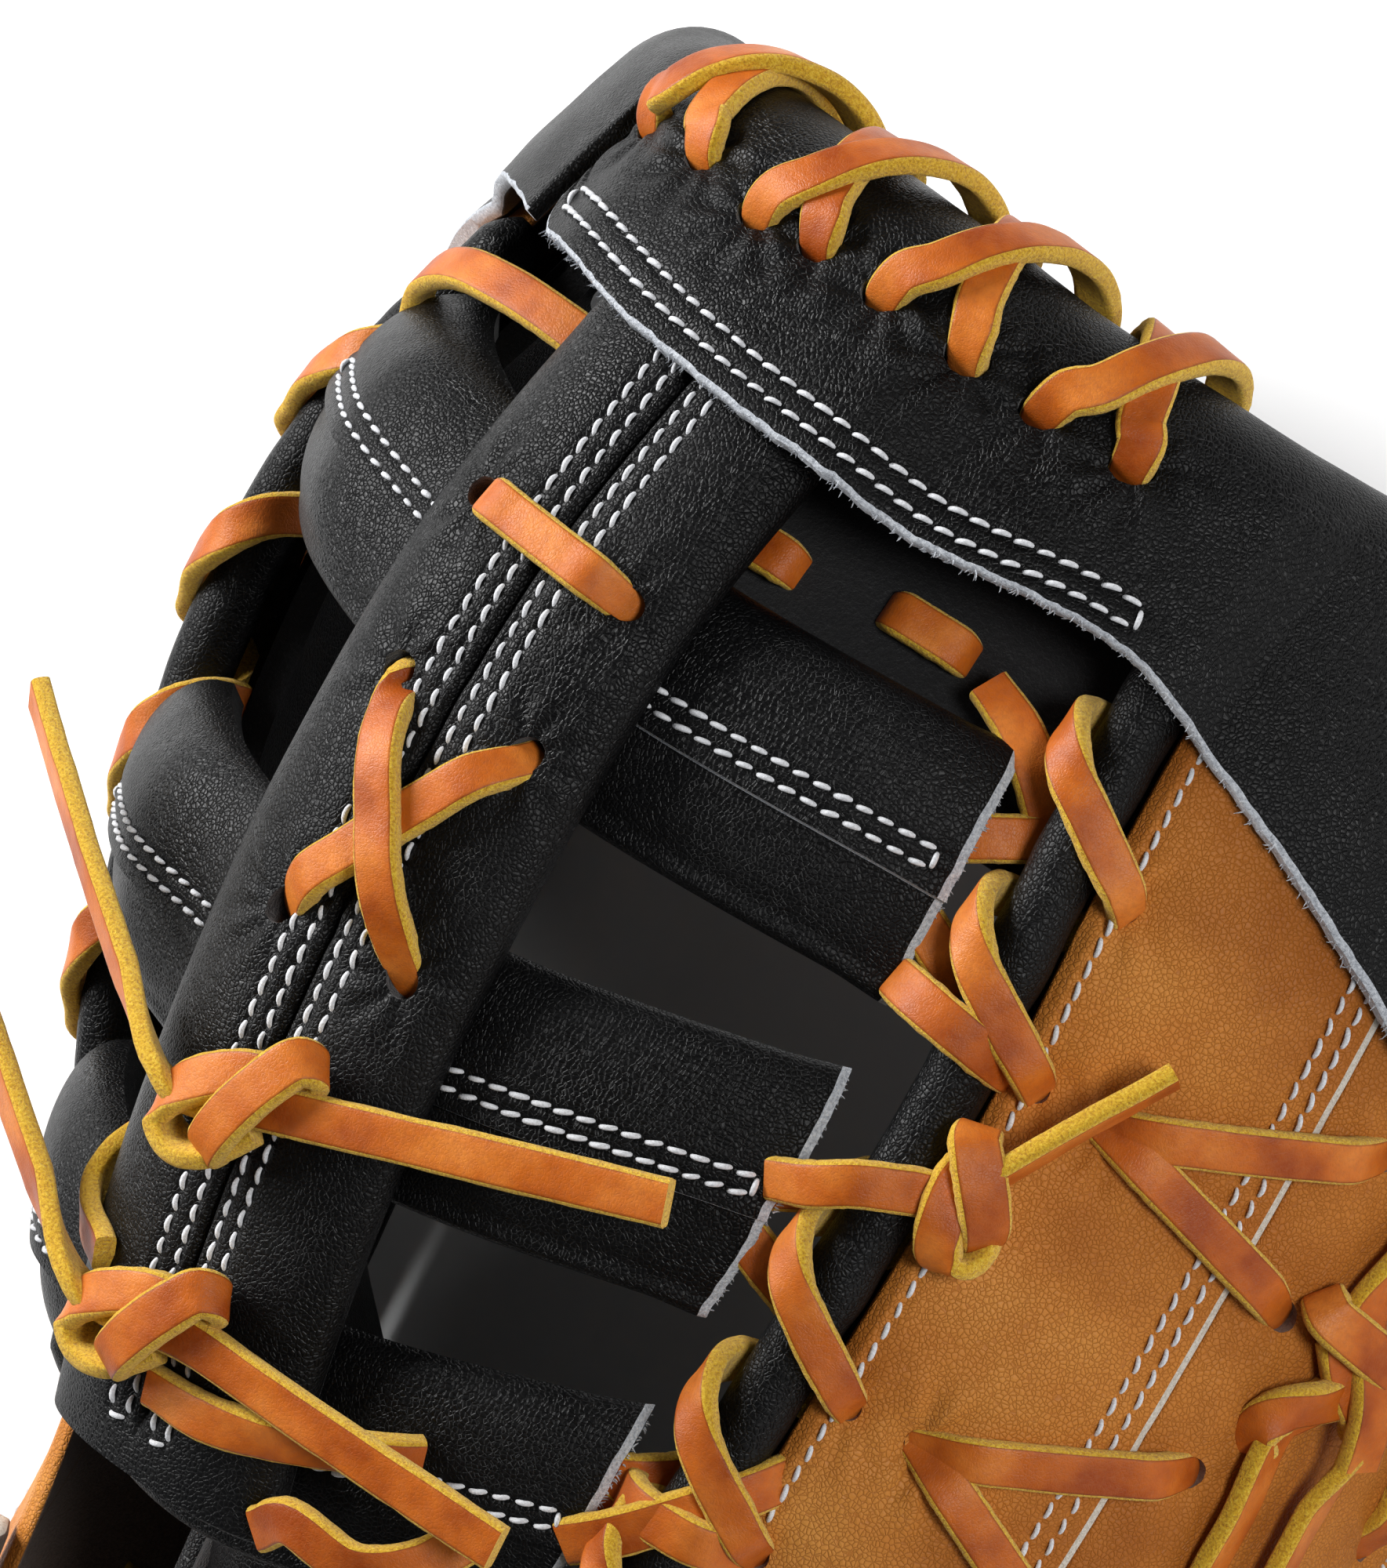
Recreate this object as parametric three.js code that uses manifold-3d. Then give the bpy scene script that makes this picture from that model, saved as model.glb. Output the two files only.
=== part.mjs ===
// First baseman mitt for the left hand, in millimetres, lying palm down with +Z up.
// +Y runs from the wrist to the top of the web, +X to the thumb side.
// Every piece follows one arched middle surface. A point is given as (across, along, lift):
// across is mm from the web's ridge, + to the thumb, along is mm from the heel,
// and lift is mm outward from the surface.

import * as THREE from 'three';
import { mergeVertices } from 'three/addons/utils/BufferGeometryUtils.js';
import Module from 'manifold-3d';

const wasm = await Module();
wasm.setup();

// Driving dimensions
const LENGTH = 314; // palm's heel edge to the top of the web
const RIDGE = 136; // height of the web's ridge over the ground
const WEB = 78; // ridge to the rolled edge of the web
const THUMB = 92; // rolled edge round the thumb, along the curve
const FINGER = 105; // rolled edge round the fingers, along the curve
const CLEAR = 0.4; // gap between pieces that touch
const LAYER = 0.95; // gap between leather layers that lie on each other
const STRAP_GAP = 0.6; // the same under the straps across the back

const LEATHER = 2.8; // outer leather of the back
const PAD = 10.7; // palm leather with its padding
const PAD_EDGE = 4; // the same, skived thin along its edges
const HALF_WEB = 7; // half the mitt's thickness along the web
const HALF_EDGE = 4.5; // half the mitt's thickness along its outer edge
const THUMB_BULGE = 8; // what the thumb adds to it on each side
const FINGER_BULGE = 9; // what the fingers add to it on each side
const HEEL_ROOM = 26; // extra depth of the hollow at the wrist
const HEEL_END = 150; // along, where that extra depth ends
const HEEL_FADE = 45; // length over which it grows
const BULGE_POWER = 1.2; // how soon the bulge rises beside the rolls
const TIP_FADE = 45; // length over which the bulge falls toward the tips
const TIP_SHARE = 0.25; // what is left of it there

const RIM = 5; // radius of the outer rolled edge
const RIM_FLAT = 1.3; // how far it is pressed flat by its own weight
const ROLL = 4.6; // radius of the rolls along the web
const ROLL_LIFT = 4.9; // lift of their centre lines
const HEEL_ROLL = 5.5; // radius of the roll along the heel

const TOP_LINE = 0.994; // share of LENGTH that the ridge's leather reaches
const THUMB_CORNER = 75; // drop of the outline round the thumb tip
const FINGER_CORNER = 85; // drop of the outline round the finger tips
const CORNER_FROM = 1.1; // place where the outline starts to drop
const CORNER_SHARE = 0.97; // share of the quarter round that it takes
const TOP_SLANT = 6; // fall of the top edge from ridge to roll, toward the thumb
const FOLD = 10; // reach of the band's rounded top beyond its flat legs
const TUCK = 8; // how far the panels' top ends lie inside the fold
const FLAP = 24; // length of the band's flap inside the pocket
const BAND = 2.6; // thickness of the band leather
const BAND_EASE = 14; // length over which it climbs from the post to a roll
const BAND_DROP = 14; // its fall from a roll to the outer edge

const POST_WIDTH = 41; // the post of the web
const POST_SHIFT = 2; // its centre line, across
const POST_BASE = 4.4; // lift of its underside
const POST_THICK = 7.6; // its thickness along the middle
const POST_SKIVE = 1.4; // its thickness along the edges
const BAR_WIDTH = 36; // each cross bar
const BAR_BASE = -3.2; // lift of its underside
const BAR_THICK = 7.2; // its thickness along the middle
const BAR_SKIVE = 2.4; // its thickness along the edges
const BAR_PUFF = 5; // extra thickness where it turns down to the fingers
const TUBE_POWER = 2.6; // how square the post's and bars' thickness falls to the edges

const LACE_WIDTH = 6.2;
const LACE_THICK = 2.3;
const HALF_LACE = LACE_THICK / 2;
const HOLE_OFF = 9; // from a web roll's centre line to its lace holes
const DIVE = 3; // length of a lace's hidden end
const BEHIND = 0.8; // gap between a back panel and the lace that runs behind it
const OVER_RUN = [0.2, 0.5, 0.8]; // where a lace's outer run has its points
const UNDER_RUN = [0.3, 0.7]; // and its hidden run
const WRAP = 3.9; // radius of a knot's wrap
const WRAP_STEPS = 8;
const WRAP_TURN = [-0.42, 1.42]; // its start and end, in half turns
const WRAP_SLIDE = 0.4; // how far it winds along, of the lace's width
const WRAP_FLAT = 0.75; // its height, of its radius
const KNOT_LIFT = 4.7; // a knot's middle over the leather

// Sections across the mitt, from heel to top. Lengths are shares of LENGTH, RIDGE, WEB,
// THUMB and FINGER in that order of use; lean, turns in degrees; shift is a share of WEB.
const COLUMNS = ['along', 'ridge', 'lean', 'web', 'webTurnT', 'webTurnF', 'thumb', 'turnT',
  'finger', 'turnF', 'shift'];
const SECTIONS = [
  [0.000, 0.493, 2, 0.56, 23, 28, 0.78, 47, 0.70, 49, 0],
  [0.204, 0.643, 1, 0.66, 30, 47, 0.90, 47, 0.72, 38, 0],
  [0.366, 0.831, -1, 0.80, 42, 70, 1.00, 40, 0.80, -14, -0.02],
  [0.540, 0.963, 3, 0.95, 45, 65, 1.04, 38, 0.95, 22, -0.02],
  [0.693, 1.000, 6, 1.00, 46, 61, 1.04, 38, 1.02, 38, -0.02],
  [0.795, 0.985, 6, 0.97, 45, 58, 1.04, 38, 1.02, 40, -0.02],
  [0.897, 0.916, 6, 0.90, 44, 60, 1.00, 38, 0.98, 38, -0.02],
  [1.000, 0.815, 6, 0.84, 42, 60, 0.92, 38, 0.90, 38, -0.03],
];
const SCALES = { along: LENGTH, ridge: RIDGE, web: WEB, thumb: THUMB, finger: FINGER, shift: WEB };

// Free edge of the band and caps: place across in shares (see place), share of LENGTH
const RAW_EDGE = [[-2, 0.74], [-1.45, 0.845], [-1, 0.905], [-0.4, 0.899], [0, 0.881], [0.5, 0.868],
  [1, 0.863], [1.14, 0.842], [1.45, 0.79], [2, 0.70]];

// Cross bars: middle line at the finger roll, at the post and at the thumb roll (of LENGTH),
// and width (of BAR_WIDTH)
const BARS = [
  { finger: 0.822, post: 0.772, thumb: 0.768, width: 1.0 },
  { finger: 0.624, post: 0.592, thumb: 0.622, width: 1.0 },
  { finger: 0.472, post: 0.424, thumb: 0.466, width: 0.94 },
];
const BAR_ENDS = [-0.86, 0.86]; // shares of the web's half width
const BAR_PLACES = [-1, 0.1, 0.88]; // where the three values of a bar's middle line hold
const PUFF_FROM = -0.3; // share of the web's half width where bars start to swell
const PUFF_EASE = 0.3; // share over which they do

const POST_ENDS = [0.395, 0.93]; // of LENGTH
const ROLL_ENDS = [0.37, 0.905];
const RIM_ENDS = [0.012, 0.785];
const NOTCH = 0.376; // lower end of the opening in the palm for the web
const NOTCH_ROUND = 20; // rise of its rounded corners
const NOTCH_SIDE = 0.99; // share of the web's half width that it takes
const PANEL_EDGE = 1.98; // place of the back panels' outer edge
const PANEL_START = 0.02; // their lower end, of LENGTH
const SEAM_GAP = 0.005; // gap between two panels at their seam, as a place
const THUMB_SEAM = [1.36, 1.46]; // seam's place across at the heel and at the top
const FINGER_SEAM = [-1.42, -1.5];
const HEEL_SIDE = 1.94; // place where the heel binding ends
// Straps across the back: from and to along, of LENGTH, and the place that they reach
const STRAP = { from: 0.07, to: 0.155, side: 1.2 };
const BRIDGE = { from: 0.195, to: 0.295, side: 1.12 };
const BAND_ENDS = [-0.47, 1.985];
const CAP_ENDS = [-1.985, -0.53];

// Small helpers
const DENSER = 1.25;
const CREEP = 0.3; // how far past a table's ends its curve may be read, in steps
const clamp01 = (x) => Math.min(1, Math.max(0, x));
const smooth = (x) => clamp01(x) ** 2 * (3 - 2 * clamp01(x));
const mix = (a, b, t) => a + (b - a) * t;
const denser = (v) => 1 - (1 - v) ** DENSER; // rows lie closer toward the tips
const rad = THREE.MathUtils.degToRad;
const toDegrees = THREE.MathUtils.radToDeg;

function column(name) {
  const k = COLUMNS.indexOf(name);
  return SECTIONS.map((row) => row[k] * (SCALES[name] ?? 1));
}

// Cubic through the table's rows with slopes from their neighbours
function curveThrough(xs, ys) {
  const n = xs.length;
  const slopes = ys.map((y, i) => {
    if (i === 0) return (ys[1] - y) / (xs[1] - xs[0]);
    if (i === n - 1) return (y - ys[n - 2]) / (xs[n - 1] - xs[n - 2]);
    const hl = xs[i] - xs[i - 1];
    const hr = xs[i + 1] - xs[i];
    return (hl * hl * ys[i + 1] + (hr * hr - hl * hl) * y - hr * hr * ys[i - 1]) / (hl * hr * (hl + hr));
  });
  return (x) => {
    let i = 0;
    while (i < n - 2 && x > xs[i + 1]) i += 1;
    const h = xs[i + 1] - xs[i];
    const t = Math.min(1 + CREEP, Math.max(-CREEP, (x - xs[i]) / h));
    const t2 = t * t;
    const t3 = t2 * t;
    return (2 * t3 - 3 * t2 + 1) * ys[i] + (t3 - 2 * t2 + t) * h * slopes[i]
      + (3 * t2 - 2 * t3) * ys[i + 1] + (t3 - t2) * h * slopes[i + 1];
  };
}

const section = {};
for (const name of COLUMNS.slice(1)) section[name] = curveThrough(column('along'), column(name));
const rawEdge = curveThrough(RAW_EDGE.map((row) => row[0]), RAW_EDGE.map((row) => row[1] * LENGTH));

// Middle surface: each side is an arc over the web, then a flatter arc, then straight
function arc(start, turn, length, d) {
  const k = turn / length;
  return [(Math.sin(start + k * d) - Math.sin(start)) / k, (Math.cos(start + k * d) - Math.cos(start)) / k];
}

function middle(across, along) {
  const side = across >= 0 ? 1 : -1;
  const web = section.web(along);
  const arm = side > 0 ? section.thumb(along) : section.finger(along);
  const webTurn = rad(side > 0 ? section.webTurnT(along) : section.webTurnF(along));
  const armTurn = rad(side > 0 ? section.turnT(along) : section.turnF(along));
  const start = rad(section.lean(along)) * side;
  const d = Math.abs(across);
  const [x1, z1] = arc(start, webTurn, web, Math.min(d, web));
  const [x2, z2] = d > web ? arc(start + webTurn, armTurn, arm, Math.min(d - web, arm)) : [0, 0];
  const rest = Math.max(d - web - arm, 0);
  const end = start + webTurn + armTurn;
  const x = side * (x1 + x2 + rest * Math.cos(end)) + section.shift(along);
  const z = z1 + z2 - rest * Math.sin(end) + section.ridge(along);
  return new THREE.Vector3(x, along, z);
}

const STEP = 0.5; // half step of the differences below
function frameAt(across, along) {
  const da = middle(across + STEP, along).sub(middle(across - STEP, along)).normalize();
  const ds = middle(across, along + STEP).sub(middle(across, along - STEP)).normalize();
  const normal = da.clone().cross(ds).normalize();
  return { da, ds, normal };
}

function at(across, along, lift) {
  const { normal } = frameAt(across, along);
  return middle(across, along).addScaledVector(normal, lift);
}

// Outer edge: where the rim's centre line comes down to its resting height
const FAR_SHARE = 1.6; // search reaches this share of the arm's length
const HALVINGS = 40;
const rimCache = new Map();
function rimAcross(side, along) {
  const key = side * (along + 1000);
  if (rimCache.has(key)) return rimCache.get(key);
  let near = section.web(along);
  let far = near + FAR_SHARE * (side > 0 ? section.thumb(along) : section.finger(along));
  for (let i = 0; i < HALVINGS; i += 1) {
    const tried = (near + far) / 2;
    if (middle(side * tried, along).z > RIM - RIM_FLAT) near = tried;
    else far = tried;
  }
  rimCache.set(key, near);
  return near;
}
const edgeAcross = (side, along) => rimAcross(side, along) - RIM - CLEAR;

// place: 0 on the ridge, 1 on the thumb roll, 2 on the thumb's outer edge, minus to the fingers
function toAcross(place, along) {
  const side = place >= 0 ? 1 : -1;
  const web = section.web(along);
  const p = Math.abs(place);
  return side * (p <= 1 ? p * web : mix(web, edgeAcross(side, along), p - 1));
}
const put = (place, along, lift) => at(toAcross(place, along), along, lift);

// Top outline of the mitt at a place
function topEdge(place) {
  const side = Math.sign(place) || 1;
  const straight = LENGTH * TOP_LINE - TOP_SLANT * Math.min(1, Math.abs(place)) * side;
  const u = CORNER_SHARE * Math.max(0, (Math.abs(place) - CORNER_FROM) / (2 - CORNER_FROM));
  const corner = side > 0 ? THUMB_CORNER : FINGER_CORNER;
  return straight - corner * (1 - Math.sqrt(Math.max(0, 1 - u * u)));
}

// Half thickness without the heel's extra room, then the outer and inner faces
function half(place, along) {
  const u = Math.max(0, Math.abs(place) - 1);
  const bulge = place > 0 ? THUMB_BULGE : FINGER_BULGE;
  const fade = mix(TIP_SHARE, 1, smooth((topEdge(place) - along) / TIP_FADE));
  return mix(HALF_WEB, HALF_EDGE, u) + bulge * fade * Math.sin(Math.PI * clamp01(u)) ** BULGE_POWER;
}
const outer = half;
function heelShare(place, along) {
  const u = Math.max(0, Math.abs(place) - 1);
  return smooth((HEEL_END - along) / HEEL_FADE) * (1 - u * u);
}
const inner = (place, along) => -half(place, along) - HEEL_ROOM * heelShare(place, along);
function padding(place, along) {
  const u = clamp01(Math.abs(place) - 1);
  return mix(PAD_EDGE, PAD, Math.max(Math.sqrt(Math.sin(Math.PI * u)), heelShare(place, along)));
}

// Meshes: a box or a drum whose points are moved by a function
function shaped(geometry, move) {
  geometry.deleteAttribute('normal');
  geometry.deleteAttribute('uv');
  const merged = mergeVertices(geometry, 1e-5);
  merged.clearGroups();
  const pos = merged.attributes.position;
  const p = new THREE.Vector3();
  for (let i = 0; i < pos.count; i += 1) {
    p.fromBufferAttribute(pos, i);
    const q = move(p.x, p.y, p.z);
    pos.setXYZ(i, q.x, q.y, q.z);
  }
  return outward(merged);
}

function outward(geometry) {
  const pos = geometry.attributes.position;
  const index = geometry.index.array;
  const [a, b, c] = [new THREE.Vector3(), new THREE.Vector3(), new THREE.Vector3()];
  let volume = 0;
  for (let i = 0; i < index.length; i += 3) {
    a.fromBufferAttribute(pos, index[i]);
    b.fromBufferAttribute(pos, index[i + 1]);
    c.fromBufferAttribute(pos, index[i + 2]);
    volume += a.dot(b.cross(c));
  }
  if (volume < 0) {
    for (let i = 0; i < index.length; i += 3) [index[i], index[i + 1]] = [index[i + 1], index[i]];
  }
  return geometry;
}

// Sheet with thickness: point(u, v, w), each 0 to 1, w 0 on its inner face
function sheet(nu, nv, point) {
  return shaped(new THREE.BoxGeometry(1, 1, 1, nu, nv, 1), (x, y, z) => point(x + 0.5, y + 0.5, z + 0.5));
}

// Round roll: centre(v) gives across, along and lift; level ground flattens it
function roll(steps, sides, radius, centre, alongPiece = true) {
  const turned = new THREE.CylinderGeometry(1, 1, 1, sides, steps, false, Math.PI / sides);
  return shaped(turned, (x, y, z) => {
    const [across, along, lift] = centre(y + 0.5);
    const { da, ds, normal } = frameAt(across, along);
    const p = at(across, along, lift);
    p.addScaledVector(alongPiece ? da : ds, x * radius).addScaledVector(normal, z * radius);
    p.z = Math.max(p.z, 0);
    return p;
  });
}

function toSolid(geometry) {
  const vertProperties = new Float32Array(geometry.attributes.position.array);
  const triVerts = new Uint32Array(geometry.index.array);
  return new wasm.Manifold(new wasm.Mesh({ numProp: 3, vertProperties, triVerts }));
}

function fromSolid(solid) {
  const mesh = solid.getMesh();
  const geometry = new THREE.BufferGeometry();
  geometry.setAttribute('position', new THREE.BufferAttribute(new Float32Array(mesh.vertProperties), 3));
  geometry.setIndex(new THREE.BufferAttribute(new Uint32Array(mesh.triVerts), 1));
  return geometry;
}

const joined = (geometries) => geometries.map(toSolid).reduce((all, next) => all.add(next));

// Leather panels
function palmPanel() {
  const panel = sheet(20, 10, (u, v, w) => {
    const place = mix(-2, 2, u);
    const along = denser(v) * (topEdge(place) - FOLD - TUCK);
    return put(place, along, inner(place, along) + w * padding(place, along));
  });
  const reach = HALF_WEB + HEEL_ROOM + PAD;
  const notch = sheet(10, 8, (u, v, w) => {
    const place = mix(-NOTCH_SIDE, NOTCH_SIDE, u);
    const low = NOTCH * LENGTH + NOTCH_ROUND * Math.abs(2 * u - 1) ** 4;
    return put(place, mix(low, LENGTH + FLAP, v), mix(-reach, HALF_WEB, w));
  });
  return toSolid(panel).subtract(toSolid(notch));
}

function backPanel(from, to, nu) {
  return toSolid(sheet(nu, 12, (u, v, w) => {
    const flat = mix(from(0), to(0), u);
    const along = mix(LENGTH * PANEL_START, topEdge(flat) - FOLD - TUCK, denser(v));
    const place = mix(from(along), to(along), u);
    return put(place, along, outer(place, along) - LEATHER * (1 - w));
  }));
}

const seamAt = (seam) => (along) => mix(seam[0], seam[1], along / LENGTH);
const pastSeam = (seam) => (along) => seamAt(seam)(along) + Math.sign(seam[0]) * SEAM_GAP;
const panelWidth = (side, along) => edgeAcross(side, along) - section.web(along);
const pastRoll = (side) => (along) => side * (1 + (ROLL + CLEAR) / panelWidth(side, along));

function crossStrap(spec, nu) {
  return toSolid(sheet(nu, 3, (u, v, w) => {
    const place = mix(-spec.side, spec.side, u);
    const along = LENGTH * mix(spec.from, spec.to, v);
    return put(place, along, outer(place, along) + STRAP_GAP + LEATHER * w);
  }));
}

// Band over the top edge: a flat leg outside, a round fold, a flap inside the pocket
function bandLift(place, along) {
  const off = Math.abs(toAcross(place, along) - POST_SHIFT) - POST_WIDTH / 2;
  const overPost = POST_BASE + POST_THICK + LAYER;
  const overRoll = ROLL_LIFT + ROLL + CLEAR;
  const onWeb = mix(overPost, overRoll, smooth(off / BAND_EASE));
  const beside = overRoll - BAND_DROP * (Math.abs(place) - 1);
  return Math.max(Math.abs(place) <= 1 ? onWeb : beside, outer(place, along) + LAYER);
}

const LEG = 3; // steps of the outer leg
const ROUND = 4; // steps of the fold
const INSIDE = 2; // steps of the flap
function foldedCap(ends, nu) {
  const steps = LEG + ROUND + INSIDE;
  return toSolid(sheet(nu, steps, (u, v, w) => {
    const place = mix(ends[0], ends[1], u);
    const turn = topEdge(place) - FOLD;
    const step = v * steps;
    const high = bandLift(place, turn);
    const low = -half(place, turn) - LAYER;
    if (step <= LEG + 1e-6) {
      const along = mix(rawEdge(place), turn, step / LEG);
      return put(place, along, bandLift(place, along) + BAND * w);
    }
    if (step <= LEG + ROUND + 1e-6) {
      const angle = Math.PI * ((step - LEG) / ROUND);
      const along = turn + (FOLD + BAND * w) * Math.sin(angle);
      return put(place, along, (high + low) / 2 + ((high - low) / 2 + BAND * w) * Math.cos(angle));
    }
    const along = turn - FLAP * ((step - LEG - ROUND) / INSIDE);
    return put(place, along, -half(place, along) - LAYER - BAND * w);
  }));
}

// Web: post along the ridge, bars below it from roll to roll
const tubeRound = (x) => Math.sqrt(Math.max(0, 1 - Math.abs(x) ** TUBE_POWER));
function webPost() {
  return toSolid(sheet(6, 13, (u, v, w) => {
    const x = 2 * u - 1;
    const round = tubeRound(x);
    const along = LENGTH * mix(POST_ENDS[0], POST_ENDS[1], v);
    const lift = POST_BASE + w * mix(POST_SKIVE, POST_THICK, round);
    return at(POST_SHIFT + x * POST_WIDTH / 2, along, lift);
  }));
}

function barMiddle(bar, place) {
  const line = curveThrough(BAR_PLACES, [bar.finger, bar.post, bar.thumb]);
  return LENGTH * line(place);
}

function webBar(bar) {
  return toSolid(sheet(12, 4, (u, v, w) => {
    const place = mix(BAR_ENDS[0], BAR_ENDS[1], u);
    const y = 2 * v - 1;
    const along = barMiddle(bar, place) + y * bar.width * BAR_WIDTH / 2;
    const round = tubeRound(y);
    const puff = BAR_PUFF * smooth((PUFF_FROM - place) / PUFF_EASE) * round;
    return put(place, along, BAR_BASE + w * (mix(BAR_SKIVE, BAR_THICK, round) + puff));
  }));
}

const webRoll = (side) => toSolid(roll(13, 8, ROLL, (v) => {
  const along = LENGTH * mix(ROLL_ENDS[0], ROLL_ENDS[1], v);
  return [side * section.web(along), along, ROLL_LIFT];
}));

const rim = (side) => toSolid(roll(15, 8, RIM, (v) => {
  const along = LENGTH * mix(RIM_ENDS[0], RIM_ENDS[1], v);
  return [side * rimAcross(side, along), along, 0];
}));

const heelRoll = () => toSolid(roll(16, 8, HEEL_ROLL, (v) => {
  const place = mix(-HEEL_SIDE, HEEL_SIDE, v);
  const lift = inner(place, 0) + padding(place, 0) / 2;
  return [toAcross(place, 0), -HEEL_ROLL - LAYER, lift];
}, false));

// Laces: a flat strap through chosen points (across, along, lift, heading in degrees).
// The heading lies in the surface, and the lace's width lies square to it.
// Each stretch between two points is cut into as many steps as given.
function ribbon({ points, cuts }, grow = 0) {
  const places = points.map(([across, along, lift]) => at(across, along, lift));
  const curve = new THREE.CatmullRomCurve3(places, false, 'centripetal');
  const sides = points.map(([across, along, , heading]) => {
    const { da, ds, normal } = frameAt(across, along);
    const dir = da.multiplyScalar(Math.cos(rad(heading))).addScaledVector(ds, Math.sin(rad(heading)));
    return dir.cross(normal).normalize();
  });
  const width = LACE_WIDTH + 2 * grow;
  const thick = LACE_THICK + 2 * grow;
  const spans = points.length - 1;
  return shaped(new THREE.BoxGeometry(1, 1, 1, 1, spans * cuts, 1), (x, y, z) => {
    const t = y + 0.5;
    const k = Math.min(spans - 1, Math.floor(t * spans + 1e-6));
    const tangent = curve.getTangent(t);
    const side = sides[k].clone().lerp(sides[k + 1], t * spans - k);
    side.addScaledVector(tangent, -side.dot(tangent)).normalize();
    const up = side.clone().cross(tangent).normalize();
    const end = Math.abs(y) > 0.499 ? Math.sign(y) * grow : 0;
    const centre = curve.getPoint(t).addScaledVector(tangent, end);
    return centre.addScaledVector(side, x * width).addScaledVector(up, z * thick);
  });
}

// Points of a lace with the heading of the way that they take
function headed(rows) {
  return rows.map(([across, along, lift], i) => {
    const before = rows[Math.max(0, i - 1)];
    const after = rows[Math.min(rows.length - 1, i + 1)];
    return [across, along, lift, toDegrees(Math.atan2(after[1] - before[1], after[0] - before[0]))];
  });
}

// Lace that dives through the leather at each stop, over and under it by turns.
// level(across, along) gives the leather's outer face and how deep the lace runs below it.
function thread(stops, level, rises = []) {
  const points = [];
  for (let i = 0; i < stops.length - 1; i += 1) {
    const [a0, s0] = stops[i];
    const [a1, s1] = stops[i + 1];
    const heading = toDegrees(Math.atan2(s1 - s0, a1 - a0));
    const over = i % 2 === 0;
    for (const t of over ? OVER_RUN : UNDER_RUN) {
      const [across, along] = [mix(a0, a1, t), mix(s0, s1, t)];
      const { top, deep } = level(across, along);
      const rise = t === 0.5 ? rises[i] ?? 0 : 0;
      points.push([across, along, over ? top + HALF_LACE + CLEAR + rise : deep, heading]);
    }
    const { top, deep } = level(a1, s1);
    points.push([a1, s1, (top + deep) / 2, heading]);
  }
  const hidden = (from, to) => {
    const away = new THREE.Vector2(to[0] - from[0], to[1] - from[1]).setLength(DIVE);
    const [across, along] = [to[0] + away.x, to[1] + away.y];
    return [across, along, level(across, along).deep, toDegrees(Math.atan2(away.y, away.x))];
  };
  const [start, next] = stops;
  const { top, deep } = level(...start);
  const first = [...start, (top + deep) / 2, points[0][3]];
  const back = hidden(next, start);
  back[3] += 180;
  points.unshift(back, first);
  points.push(hidden(stops[stops.length - 2], stops[stops.length - 1]));
  return { points, cuts: 1 };
}

const share = (rows) => rows.map(([across, along]) => [across * WEB, along * LENGTH]);
const placed = (rows) => rows.map(([place, along]) => [toAcross(place, along * LENGTH), along * LENGTH]);

const POST_TOP = POST_BASE + POST_THICK;
const postLevel = () => ({ top: POST_TOP, deep: POST_BASE - HALF_LACE - CLEAR });
function backLevel(across, along) {
  const side = across >= 0 ? 1 : -1;
  const web = section.web(along);
  const place = side * (1 + Math.max(0, Math.abs(across) - web) / panelWidth(side, along));
  const top = outer(place, along);
  return { top, deep: top - LEATHER - HALF_LACE - BEHIND };
}

// Wrap of a knot: almost one turn round the lace that runs by heading, open at its foot
function wrap([across, along], lift, heading) {
  const points = [];
  const [c, s] = [Math.cos(rad(heading)), Math.sin(rad(heading))];
  for (let i = 0; i <= WRAP_STEPS; i += 1) {
    const angle = Math.PI * mix(...WRAP_TURN, i / WRAP_STEPS);
    const off = WRAP * Math.cos(angle);
    const slide = LACE_WIDTH * WRAP_SLIDE * (i / WRAP_STEPS - 0.5);
    const flat = WRAP_FLAT * WRAP * Math.sin(angle);
    points.push([across - off * s + slide * c, along + off * c + slide * s, lift + flat, heading + 90]);
  }
  return { points, cuts: 1 };
}

// Laces on the post
const lacePostStrap = [thread(share([[-0.122, 0.803], [0.192, 0.795]]), postLevel)];
const lacePostCross = [thread(share([[-0.058, 0.627], [0.186, 0.727], [-0.07, 0.731], [0.181, 0.627]]),
  postLevel, [0, 0, LACE_THICK + CLEAR])];

// Knots on the post: tails (shares of WEB and LENGTH, lift over the post) and the wrap
function postKnot(centre, heading, tails) {
  const [middleRow] = share([centre]);
  const lift = POST_TOP + KNOT_LIFT;
  const rows = tails.map(([across, along, rise]) => [across * WEB, along * LENGTH, POST_TOP + rise]);
  return [{ points: headed(rows), cuts: 1 }, wrap(middleRow, lift, heading)];
}
const lacePostKnotUpper = postKnot([0.055, 0.556], 20, [[-0.68, 0.648, 10], [-0.42, 0.602, 8],
  [-0.16, 0.567, 5], [0.055, 0.556, 4.4], [0.26, 0.566, 4.6], [0.47, 0.588, 3.2], [0.70, 0.607, 2.6]]);
const lacePostKnotLower = postKnot([0.03, 0.462], 10, [[-0.62, 0.56, 14], [-0.42, 0.522, 10],
  [-0.17, 0.478, 5.5], [0.03, 0.462, 4.4], [0.26, 0.456, 5], [0.46, 0.457, 5.4], [0.66, 0.456, 4]]);

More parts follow.
